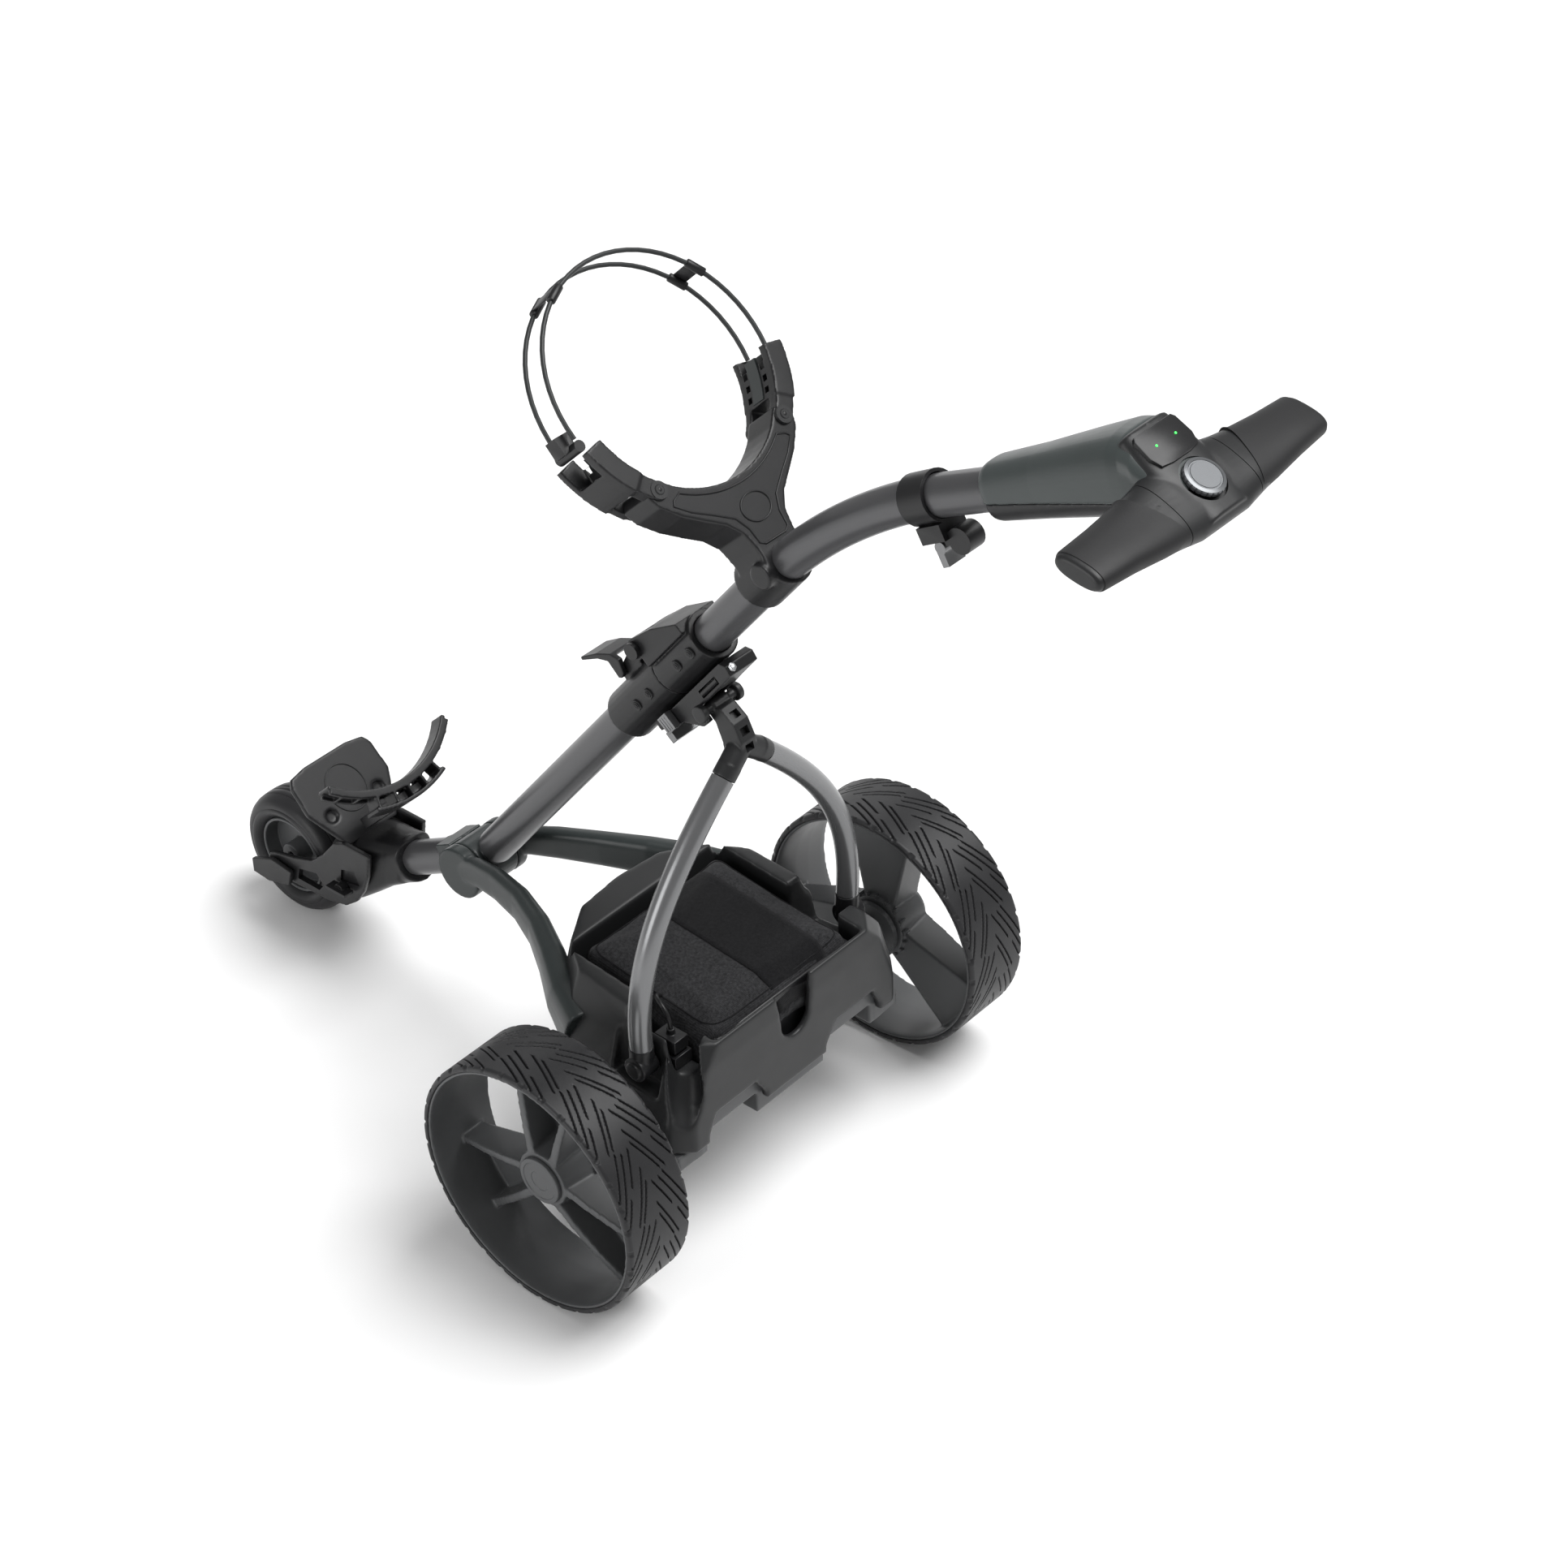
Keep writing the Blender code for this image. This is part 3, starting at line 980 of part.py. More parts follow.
def build():
    clear_scene()
    ROOT.append(make_body("trolley", REAR_AXLE_Y, 0.0))
    chassis = make_body("chassis", 0.0, 0.0)
    left = make_body("wheel_left", 0.0, REAR_RADIUS, WHEEL_X)
    right = make_body("wheel_right", 0.0, REAR_RADIUS, -WHEEL_X)
    axle = make_body("axle", 0.0, REAR_RADIUS)
    rotor = make_body("rotor", MOTOR_Y, REAR_RADIUS)
    front = make_body("wheel_front", *WHEEL_FRONT)
    flap = make_body("flap", -0.658, 0.061, 0.047)
    nut = make_body("wing_nut", -0.519, 0.098, 0.047)
    lower = make_body("lower_frame", *ELBOW)
    legs = make_body("legs", *LEG_FOOT)
    hinge = world(COLLAR, (0, *HINGE))
    handle_body = make_body("handle", hinge.y, hinge.z)
    spot = world(COLLAR, (0, -0.0175, -0.0350))
    tab = make_body("release_tab", spot.y, spot.z)
    spot = world(COLLAR, (0, -0.030, 0.0315))
    latch = make_body("hinge_latch", spot.y, spot.z)
    points = handle_tube_points()
    spot = world(tube_place(points, 0.4500), (0, 0.0, -0.0425))
    lever = make_body("clip_lever", spot.y, spot.z)
    arms = {}
    for side, label in ((1, "left"), (-1, "right")):
        spot = world(HOOP, (side * SCREW[0], 0, SCREW[1]))
        arms[side] = make_body("cradle_arm_" + label, spot.y, spot.z, spot.x)
    spot = world(HOOP, (-0.1195, 0, -0.0360))
    strap = make_body("strap", spot.y, spot.z, spot.x)
    stem = make_body("dial_stem", *BAR)
    dial = make_body("speed_dial", *BAR)

    rear_wheel(1, "left", left)
    rear_wheel(-1, "right", right)
    tray(chassis)
    drive(chassis, axle, rotor)
    battery(chassis)
    battery_connection(chassis)
    front_arms(chassis)
    front_tube(chassis)
    front_wheel(front)
    front_bracket(chassis)
    front_fittings(flap, nut)
    lower_frame(lower, tab, latch)
    rear_legs(legs)
    upper_frame(handle_body, lever)
    upper_cradle(handle_body, arms, strap, points)
    bag_strap(strap)
    handle(handle_body, points)
    speed_dial(stem, dial)


build()
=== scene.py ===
# %% [markdown]
# An electric golf trolley stands on three wheels: two wide ones that a motor turns and a
# small one in front. Everything that carries load came from the design model, which is
# loaded first as a fixed frame. Each cell then makes the visible surface of some pieces:
# the tubes as smooth curves, the plastic as soft-edged mouldings, the tyres with their
# tread, and the battery's bag as simulated cloth.

# %% Load the frame
import json
import math

import bmesh
import bpy
from mathutils import Matrix, Vector, noise
from mathutils.bvhtree import BVHTree


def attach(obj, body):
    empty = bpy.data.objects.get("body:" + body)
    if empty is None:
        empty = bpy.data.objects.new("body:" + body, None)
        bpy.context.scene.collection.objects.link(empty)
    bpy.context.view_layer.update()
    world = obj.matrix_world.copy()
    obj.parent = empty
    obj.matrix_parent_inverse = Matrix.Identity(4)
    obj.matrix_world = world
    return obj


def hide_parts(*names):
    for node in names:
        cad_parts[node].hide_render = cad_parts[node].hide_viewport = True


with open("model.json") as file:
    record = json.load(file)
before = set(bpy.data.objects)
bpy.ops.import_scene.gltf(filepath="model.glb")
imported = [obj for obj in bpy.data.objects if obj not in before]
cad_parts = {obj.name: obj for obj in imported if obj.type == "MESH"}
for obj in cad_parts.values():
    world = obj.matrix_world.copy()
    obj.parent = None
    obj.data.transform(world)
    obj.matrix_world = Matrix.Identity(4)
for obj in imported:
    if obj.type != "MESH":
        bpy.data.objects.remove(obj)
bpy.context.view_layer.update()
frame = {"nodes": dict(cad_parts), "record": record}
REAR_AXLE_Y = 0.0752  # the design model's outlines start under the rear axle


def tilt(place, degrees):
    """A frame on the middle plane; local Y climbs at the given angle."""
    turn = Matrix.Rotation(math.radians(degrees), 4, "X")
    return Matrix.Translation((0, place[0] + REAR_AXLE_Y, place[1])) @ turn


FRAME_PITCH = 51.1
HANDLE_PITCH = 26.0
BAG_PITCH = 43.9
COLLAR = tilt((-0.0632, 0.5400), FRAME_PITCH)
HOOP = tilt((-0.0573, 0.8596), BAG_PITCH)
BARS = tilt((0.521, 0.970), -26.0)
SLEEVE = tilt((0.3300, 0.8983), HANDLE_PITCH)
REAR_RADIUS = 0.137
WHEEL_X = 0.254
TUBE_R = 0.019

# %% [markdown]
# The camera looks down from behind the trolley's left side, from far enough away that the
# wheels keep their shape. It is placed by its distance and its angles, and rolled slightly.

# %% Camera, floor and light
CAMERA_AT = Vector((1.945, 1.8298 + REAR_AXLE_Y, 2.3991))
AZIMUTH, ELEVATION, ROLL = math.radians(131.96), math.radians(36.21), math.radians(-1.88)
back = Vector(
    (
        math.sin(AZIMUTH) * math.cos(ELEVATION),
        -math.cos(AZIMUTH) * math.cos(ELEVATION),
        math.sin(ELEVATION),
    )
)
lens = bpy.data.cameras.new("camera")
lens.lens = 80.49
lens.sensor_width = 36
camera = bpy.data.objects.new("camera", lens)
bpy.context.collection.objects.link(camera)
turn = back.to_track_quat("Z", "Y").to_matrix().to_4x4()
camera.matrix_world = Matrix.Translation(CAMERA_AT) @ turn @ Matrix.Rotation(ROLL, 4, "Z")
bpy.context.scene.camera = camera
bpy.context.scene.view_settings.view_transform = "Standard"


def area_light(name, place, target, size, watts):
    data = bpy.data.lights.new(name, "AREA")
    data.size = size
    data.energy = watts
    lamp = bpy.data.objects.new(name, data)
    bpy.context.collection.objects.link(lamp)
    way = Vector(place) - Vector(target)
    lamp.matrix_world = Matrix.Translation(place) @ way.to_track_quat("Z", "Y").to_matrix().to_4x4()


area_light("key", (-0.6, 1.2, 3.4), (0, 0, 0.3), 2.2, 46)
area_light("side", (3.0, -0.5, 1.3), (0, 0, 0.2), 1.8, 40)
area_light("front", (-2.6, -2.4, 1.8), (0, 0, 0.3), 2.0, 16)
world = bpy.data.worlds.new("studio")
world.use_nodes = True
world.node_tree.nodes["Background"].inputs["Color"].default_value = (1, 1, 1, 1)
world.node_tree.nodes["Background"].inputs["Strength"].default_value = 0.33
bpy.context.scene.world = world
sun = bpy.data.lights.new("sky_panel", "SUN")
sun.angle = math.radians(42)
sun.energy = 2.5
sun_lamp = bpy.data.objects.new("sky_panel", sun)
bpy.context.collection.objects.link(sun_lamp)
sun_lamp.matrix_world = Vector((-0.42, 0.36, 1.0)).to_track_quat("Z", "Y").to_matrix().to_4x4()

# %% [markdown]
# A finish is a Principled shader fed by a little arithmetic. `Value` wraps a socket, so the
# arithmetic reads as a formula, and `Finish.node` adds every other kind of node.


# %% Shader helpers
class Value:
    """A number that varies over a surface."""

    def __init__(self, finish, socket):
        self.finish, self.socket = finish, socket

    def maths(self, operation, other):
        return self.finish.node("ShaderNodeMath", {"operation": operation}, {0: self, 1: other})

    def __add__(self, other):
        return self.maths("ADD", other)

    def __sub__(self, other):
        return self.maths("SUBTRACT", other)

    def __mul__(self, other):
        return self.maths("MULTIPLY", other)


class Finish:
    """One material, with a Principled shader."""

    def __init__(self, name, metallic=0.0, coat=0.0, sheen=0.0):
        self.material = bpy.data.materials.new(name)
        self.material.use_nodes = True
        self.shader = self.material.node_tree.nodes["Principled BSDF"]
        self.shader.inputs["Metallic"].default_value = metallic
        self.shader.inputs["Coat Weight"].default_value = coat
        self.shader.inputs["Sheen Weight"].default_value = sheen
        self.shader.inputs["Specular IOR Level"].default_value = 0.32
        self.place = self.node("ShaderNodeTexCoord", {}, {}, "Object")

    def node(self, kind, settings, inputs, output=0):
        made = self.material.node_tree.nodes.new(kind)
        for key, value in settings.items():
            setattr(made, key, value)
        for key, value in inputs.items():
            if isinstance(value, Value):
                self.material.node_tree.links.new(value.socket, made.inputs[key])
            else:
                made.inputs[key].default_value = value
        return Value(self, made.outputs[output])

    def noise(self, scale, detail=3.0, rough=0.55):
        values = {"Vector": self.place, "Scale": scale, "Detail": detail, "Roughness": rough}
        return self.node("ShaderNodeTexNoise", {}, values)

    def mix(self, factor, first, second):
        values = {0: factor, 6: (*first, 1.0), 7: (*second, 1.0)}
        return self.node("ShaderNodeMix", {"data_type": "RGBA"}, values, 2)

    def bump(self, height, strength, distance):
        values = {"Height": height, "Strength": strength, "Distance": distance}
        self.set("Normal", self.node("ShaderNodeBump", {}, values))

    def set(self, name, value):
        if isinstance(value, Value):
            self.material.node_tree.links.new(value.socket, self.shader.inputs[name])
        else:
            self.shader.inputs[name].default_value = value


def moulded_finish(name, dark, light, rough, grain=0.12, coat=0.0):
    """Plastic: a spark-eroded grain, slightly uneven gloss and a faint cloudiness."""
    look = Finish(name, coat=coat)
    cloud = look.noise(9.0, 4.0)
    look.set("Base Color", look.mix(cloud, dark, light))
    look.set("Roughness", look.noise(35.0) * 0.16 + (rough - 0.08))
    look.bump(look.noise(1400.0, 2.0), grain, 0.0004)
    return look.material


def lacquered_finish(name, dark, light, rough, metallic):
    """Metallic lacquer on tube: fine flake, soft gloss and a trace of handling marks."""
    look = Finish(name, metallic=metallic, coat=0.25)
    look.shader.inputs["Coat Roughness"].default_value = 0.2
    flake = look.noise(2600.0, 1.0)
    look.set("Base Color", look.mix(flake, dark, light))
    wear = look.noise(22.0, 6.0, 0.7)
    look.set("Roughness", wear * 0.02 + (rough - 0.01))
    look.bump(look.noise(420.0, 2.0), 0.003, 0.0003)
    return look.material


def rubber_finish(name, dark, light, rough):
    look = Finish(name)
    dust = look.noise(28.0, 5.0, 0.65)
    look.set("Base Color", look.mix(dust, dark, light))
    look.set("Roughness", dust * 0.2 + (rough - 0.1))
    look.bump(look.noise(900.0, 3.0), 0.18, 0.0004)
    return look.material


def woven_finish(name, dark, light, thread, rough=0.9):
    """Woven nylon: crossing threads, each with its own shade, and a little fuzz."""
    look = Finish(name, sheen=0.06)
    look.shader.inputs["Specular IOR Level"].default_value = 0.12
    waves = {"Vector": look.place, "Scale": thread, "Distortion": 0.6, "Detail": 1.0}
    warp = look.node("ShaderNodeTexWave", {"bands_direction": "X"}, waves)
    weft = look.node("ShaderNodeTexWave", {"bands_direction": "Y"}, waves)
    fuzz = look.noise(340.0, 6.0, 0.85)
    weave = warp * weft * 0.45 + (fuzz - 0.36) * 2.2
    look.set("Base Color", look.mix(weave, dark, light))
    look.set("Roughness", fuzz * 0.1 + (rough - 0.05))
    look.bump(weave, 0.5, 0.0007)
    return look.material


# %% [markdown]
# The finishes: two lacquers, five plastics, three rubbers, two weaves, bare steel, the
# dial's paint, a lit lamp and the pale floor.

# %% The trolley's finishes
GRAPHITE = lacquered_finish("graphite_lacquer", (0.060, 0.060, 0.063), (0.098, 0.098, 0.102), 0.36, 0.45)
SILVER = lacquered_finish("silver_grey_lacquer", (0.160, 0.162, 0.166), (0.195, 0.197, 0.201), 0.27, 0.65)
PLASTIC = moulded_finish("charcoal_plastic", (0.0125, 0.0128, 0.0134), (0.0185, 0.0190, 0.0198), 0.40)
DARK = moulded_finish("black_plastic", (0.0075, 0.0075, 0.0082), (0.0120, 0.0120, 0.0128), 0.36)
SLATE = moulded_finish("slate_plastic", (0.0200, 0.0242, 0.0242), (0.0290, 0.0345, 0.0345), 0.34, 0.08)
SHELL_SLATE = moulded_finish("shell_slate", (0.0380, 0.0450, 0.0445), (0.0500, 0.0585, 0.0580), 0.32, 0.08)
RIM = moulded_finish("rim_plastic", (0.066, 0.068, 0.070), (0.084, 0.086, 0.088), 0.38, 0.10)
RUBBER = rubber_finish("tyre_rubber", (0.0120, 0.0120, 0.0130), (0.0215, 0.0215, 0.0230), 0.44)
GRIP = rubber_finish("grip_rubber", (0.0100, 0.0100, 0.0108), (0.0160, 0.0160, 0.0168), 0.55)
CORD = rubber_finish("elastic_cord", (0.018, 0.0195, 0.0195), (0.028, 0.030, 0.031), 0.40)
NYLON = woven_finish("bag_nylon", (0.0030, 0.0030, 0.0034), (0.0520, 0.0520, 0.0550), 260.0)
WEBBING = woven_finish("strap_webbing", (0.0022, 0.0022, 0.0026), (0.0150, 0.0150, 0.0165), 420.0)
STEEL = lacquered_finish("zinc_steel", (0.42, 0.43, 0.44), (0.60, 0.61, 0.62), 0.28, 1.0)
DIAL = lacquered_finish("dial_paint", (0.115, 0.120, 0.126), (0.165, 0.171, 0.178), 0.34, 0.6)
lamp = Finish("green_lamp")
lamp.set("Base Color", lamp.mix(lamp.noise(300.0), (0.02, 0.5, 0.05), (0.04, 0.7, 0.08)))
lamp.shader.inputs["Emission Color"].default_value = (0.05, 0.9, 0.10, 1)
lamp.shader.inputs["Emission Strength"].default_value = 2.5
LAMP = lamp.material
ground = Finish("pale_floor")
ground.set("Base Color", ground.mix(ground.noise(3.0), (0.86, 0.86, 0.86), (0.88, 0.88, 0.88)))
ground.shader.inputs["Roughness"].default_value = 0.9

# %% [markdown]
# Every piece goes through these helpers, which give it its finish, its body and its edges.
# The floor is a plain sheet, far larger than the view. It is staging and not a part.


# %% Mesh helpers and the floor
def made(name, bm, finish, body=None, slot=None, replaces=(), angle=38):
    """A bmesh becomes a finished piece that rides on a body."""
    mesh = bpy.data.meshes.new(name)
    bm.to_mesh(mesh)
    bm.free()
    piece = bpy.data.objects.new(name, mesh)
    bpy.context.collection.objects.link(piece)
    mesh.materials.append(finish)
    mesh.shade_smooth()
    mesh.set_sharp_from_angle(angle=math.radians(angle))
    if body:
        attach(piece, body)
    if replaces:
        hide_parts(*replaces)
    return piece


def settle(piece):
    """Applies a piece's modifiers."""
    shape = piece.evaluated_get(bpy.context.evaluated_depsgraph_get())
    mesh = bpy.data.meshes.new_from_object(shape)
    piece.modifiers.clear()
    old = piece.data
    piece.data = mesh
    bpy.data.meshes.remove(old)
    return piece


def node_body(node):
    for name, nodes in frame["record"]["behaviour"]["bodies"].items():
        if node in nodes:
            return name


def node_slot(node):
    for row in frame["record"]["subparts"]:
        if row["node"] == node:
            return row["material_slot"]


def copy_of(node):
    """The node's own surface, with its loose triangles merged."""
    bm = bmesh.new()
    bm.from_mesh(frame["nodes"][node].data)
    bmesh.ops.remove_doubles(bm, verts=bm.verts, dist=0.00001)
    return bm


def crisp(node, finish, width=0.0006):
    """A hard piece: the node with a fine machined edge."""
    bm = copy_of(node)
    bmesh.ops.dissolve_limit(bm, angle_limit=math.radians(1), verts=bm.verts, edges=bm.edges)
    piece = made(node + "_surface", bm, finish, node_body(node), node_slot(node), (node,))
    edge = piece.modifiers.new("Edge", "BEVEL")
    edge.width = width
    edge.segments = 2
    edge.limit_method = "ANGLE"
    edge.angle_limit = math.radians(38)
    edge.use_clamp_overlap = True
    return piece


def moulded(node, finish, grain=0.0016, rounds=6, keep=0.5, bm=None):
    """A moulding: the node resampled finely and smoothed, which rounds every edge."""
    piece = made(node + "_moulding", bm or copy_of(node), finish, angle=180)
    sample = piece.modifiers.new("Sample", "REMESH")
    sample.mode = "VOXEL"
    sample.voxel_size = grain
    smooth = piece.modifiers.new("Round", "SMOOTH")
    smooth.factor = 0.5
    smooth.iterations = rounds
    thin = piece.modifiers.new("Thin", "DECIMATE")
    thin.ratio = keep
    settle(piece)
    piece.data.shade_smooth()
    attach(piece, node_body(node))
    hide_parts(node)
    return piece


def disc(bm, place, radius, depth, sides=24, top=None):
    """A short round boss; local Z is its axis and its base is at the origin."""
    lift = Matrix.Translation((0, 0, depth / 2))
    made_of = bmesh.ops.create_cone(
        bm,
        cap_ends=True,
        segments=sides,
        radius1=radius,
        radius2=radius if top is None else top,
        depth=depth,
        matrix=place @ lift,
    )
    return made_of["verts"]


def block(bm, place, size):
    scale = Matrix.Diagonal((*size, 1))
    return bmesh.ops.create_cube(bm, size=1, matrix=place @ scale)["verts"]


def soften(bm, width, segments=2):
    sharp = [e for e in bm.edges if len(e.link_faces) == 2 and e.calc_face_angle() > math.radians(38)]
    bmesh.ops.bevel(
        bm,
        geom=sharp,
        offset=width,
        segments=segments,
        profile=0.5,
        affect="EDGES",
        material=-1,
        clamp_overlap=True,
    )


def pierce(piece, cutter_mesh):
    """Cuts closed shapes out of a finished piece."""
    mesh = bpy.data.meshes.new("cutter")
    cutter_mesh.to_mesh(mesh)
    cutter_mesh.free()
    cutter = bpy.data.objects.new("cutter", mesh)
    bpy.context.collection.objects.link(cutter)
    cut = piece.modifiers.new("Cut", "BOOLEAN")
    cut.operation = "DIFFERENCE"
    cut.solver = "EXACT"
    cut.object = cutter
    settle(piece)
    bpy.data.objects.remove(cutter)
    piece.data.shade_smooth()
    piece.data.set_sharp_from_angle(angle=math.radians(38))
    return piece


def oval(half_a, half_b, power=2.4, sides=40):
    """A rounded outline between an ellipse and a rectangle."""
    points = []
    for i in range(sides):
        angle = 2 * math.pi * i / sides
        c, s = math.cos(angle), math.sin(angle)
        points.append(
            (
                half_a * math.copysign(abs(c) ** (2 / power), c),
                half_b * math.copysign(abs(s) ** (2 / power), s),
            )
        )
    return points


def loft(bm, rings):
    """A closed skin through a row of outlines that have equal numbers of points."""
    rows = [[bm.verts.new(point) for point in outline] for outline in rings]
    for low, high in zip(rows, rows[1:]):
        for i in range(len(low)):
            bm.faces.new((low[i - 1], low[i], high[i], high[i - 1]))
    bm.faces.new(rows[0])
    bm.faces.new(rows[-1])
    bmesh.ops.recalc_face_normals(bm, faces=bm.faces)


def prism(bm, place, outline, start, end):
    """An outline in a frame's XZ plane, extruded along its Y."""
    loft(bm, [[place @ Vector((x, y, z)) for x, z in outline] for y in (start, end)])


def bead(name, points, radius, finish, body):
    """A fine raised line along a closed path."""
    curve = bpy.data.curves.new(name, "CURVE")
    curve.dimensions = "3D"
    curve.bevel_depth = radius
    curve.bevel_resolution = 2
    run = curve.splines.new("POLY")
    run.points.add(len(points) - 1)
    for knot, point in zip(run.points, points):
        knot.co = (*point, 1)
    run.use_cyclic_u = True
    piece = bpy.data.objects.new(name, curve)
    bpy.context.collection.objects.link(piece)
    curve.materials.append(finish)
    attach(piece, body)
    return piece


def screw(bm, place, radius=0.0042):
    """A pan head with a cross recess; local Z points out."""
    disc(bm, place, radius, 0.0009, 28, radius * 0.8)
    for turned in (0, 90):
        arm = place @ Matrix.Rotation(math.radians(turned), 4, "Z") @ Matrix.Translation((0, 0, 0.0009))
        block(bm, arm, (radius * 1.1, radius * 0.22, 0.0004))


sheet = bmesh.new()
bmesh.ops.create_grid(sheet, x_segments=1, y_segments=1, size=14)
floor = made("floor", sheet, ground.material)

# %% [markdown]
# The elastic strap that holds a golf bag is a pair of stiff cords. They spring from one arm
# of the cradle, arch over the bag and hook on the other arm, so they keep a true arc.

# %% Cords
BAG_RING_R = 0.1204
CORD_R = 0.00225
CORD_GAP = 0.0157
HOOP_FROM, HOOP_TO, HOOP_STEPS = math.radians(191.3), math.radians(-4.2), 34


def cord_piece(name, points, radius, finish, body, node):
    curve = bpy.data.curves.new(name, "CURVE")
    curve.dimensions = "3D"
    curve.bevel_depth = radius
    curve.bevel_resolution = 4
    curve.use_fill_caps = True
    spline = curve.splines.new("POLY")
    spline.points.add(len(points) - 1)
    for knot, point in zip(spline.points, points):
        knot.co = (*point, 1)
    spline.use_smooth = True
    piece = bpy.data.objects.new(name, curve)
    bpy.context.collection.objects.link(piece)
    curve.materials.append(finish)
    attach(piece, body)
    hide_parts(node)
    return piece


def length_of(points):
    return sum((b - a).length for a, b in zip(points, points[1:]))


def hoop_point(angle, across, radius=BAG_RING_R):
    return HOOP @ Vector((radius * math.cos(angle), across, radius * math.sin(angle)))


for label, across in (("rear", CORD_GAP), ("front", -CORD_GAP)):
    angles = [HOOP_FROM + (HOOP_TO - HOOP_FROM) * i / HOOP_STEPS for i in range(HOOP_STEPS + 1)]
    points = [hoop_point(angle, across) for angle in angles]
    node = "strap_cord_" + label
    cord = cord_piece(node + "_surface", points, CORD_R, CORD, "strap", node)
    length_of(points)


def bezier(a, b, c, d, steps):
    points = []
    for i in range(steps + 1):
        t = i / steps
        s = 1 - t
        points.append(
            Vector(a) * s**3 + Vector(b) * 3 * s * s * t + Vector(c) * 3 * s * t * t + Vector(d) * t**3
        )
    return points


def shifted(points):
    return [Vector((x, y + REAR_AXLE_Y, z)) for x, y, z in points]


lead_points = shifted(
    bezier(
        (0.1205, 0.034, 0.2439), (0.1205, 0.034, 0.268), (0.1205, 0.006, 0.272), (0.1030, 0.006, 0.2582), 8
    )
)
lead = cord_piece("battery_lead_surface", lead_points, 0.0022, DARK, "chassis", "battery_lead")
plug = crisp("battery_plug", DARK, 0.0010)
length_of(lead_points)
print("cords:", round(length_of(lead_points), 3), "m lead")

# %% [markdown]
# The frame is bent aluminium tube. Each tube is a curve along its own centreline with a round
# section, hollowed by Solidify, so that it is smooth at any distance and open at its ends.


# %% Frame tubes
def tube(node, points, radius, wall, finish):
    curve = bpy.data.curves.new(node, "CURVE")
    curve.dimensions = "3D"
    curve.bevel_depth = radius
    curve.bevel_resolution = 18
    spline = curve.splines.new("POLY")
    spline.points.add(len(points) - 1)
    for knot, point in zip(spline.points, points):
        knot.co = (*point, 1)
    spline.use_smooth = True
    piece = bpy.data.objects.new(node + "_surface", curve)
    bpy.context.collection.objects.link(piece)
    shell = piece.modifiers.new("Wall", "SOLIDIFY")
    shell.thickness = wall
    shell.offset = -1
    mesh = bpy.data.meshes.new_from_object(piece.evaluated_get(bpy.context.evaluated_depsgraph_get()))
    bpy.data.objects.remove(piece)
    bm = bmesh.new()
    bm.from_mesh(mesh)
    return made(node + "_surface", bm, finish, node_body(node), node_slot(node), (node,))


def handle_tube_points(steps):
    """Straight out of the collar, one long bend, then straight into the handle."""
    first, last = math.radians(FRAME_PITCH), math.radians(HANDLE_PITCH)
    bend_radius = 0.610
    spot = COLLAR @ Vector((0, 0.0245, 0))
    points = [spot]
    spot = spot + Vector((0, math.cos(first), math.sin(first))) * 0.1925
    points.append(spot)
    step = (first - last) / steps
    for i in range(steps):
        pitch = first - step * (i + 0.5)
        spot = spot + Vector((0, math.cos(pitch), math.sin(pitch))) * bend_radius * step
        points.append(spot)
    points.append(spot + Vector((0, math.cos(last), math.sin(last))) * 0.110)
    return points


upper_points = handle_tube_points(36)
tube("upper_tube", upper_points, TUBE_R, 0.002, GRAPHITE)
lower_points = [COLLAR @ Vector((0, along, 0)) for along in (0.034 - 0.4431, 0.0225)]
tube("lower_tube", lower_points, TUBE_R, 0.002, GRAPHITE)
front_place = tilt((-0.3875, 0.1771), 28.4)
front_points = [front_place @ Vector((0, along, 0)) for along in (-0.116, 0.002)]
tube("front_tube", front_points, TUBE_R, 0.002, GRAPHITE)
for side, label in ((1, "left"), (-1, "right")):
    leg = shifted(
        bezier(
            (side * 0.1520, 0.0245, 0.2375), (side * 0.1600, 0.0265, 0.335),
            (side * 0.1150, 0.0290, 0.405), (side * 0.029, 0.031, 0.484), 40,
        )
    )
    tube("leg_tube_" + label, leg, 0.0115, 0.0018, SILVER)

# %% [markdown]
# A rear tyre is a wide rubber band. Its section is spun finely, and the tread is then pressed
# into it: sets of six slanting grooves a side, of different lengths, that meet in arrows, and
# notched shoulders. The front tyre is narrow and round, with plain rings.


# %% Tyres
def spun(profile, steps, place):
    """A closed section of (x, radius) points, spun about X."""
    bm = bmesh.new()
    verts = [bm.verts.new((x, 0, -r)) for x, r in profile]
    edges = [bm.edges.new((verts[i - 1], verts[i])) for i in range(len(verts))]
    bmesh.ops.spin(
        bm, geom=verts + edges, cent=(0, 0, 0), axis=(1, 0, 0),
        angle=2 * math.pi, steps=steps, use_merge=True,
    )
    bmesh.ops.recalc_face_normals(bm, faces=bm.faces)
    bmesh.ops.transform(bm, matrix=place, verts=bm.verts)
    return bm


def channel(phase, width):
    """1 in the middle of a channel, 0 outside it; phase counts channels."""
    away = abs(phase - round(phase))
    return max(0.0, min(1.0, (width - away) / (0.35 * width)))


TREAD_HALF = 0.041
TREAD_PITCHES = 11
TREAD_DEPTH = 0.0026
# Each groove of one arrow: where it starts and ends across the half tread, and its place.
GROOVES = (
    (0.05, 0.60, 0.0), (0.05, 0.44, 0.17), (0.46, 0.93, 0.20),
    (0.30, 0.93, 0.42), (0.60, 0.95, 0.62), (0.10, 0.46, 0.66),
)


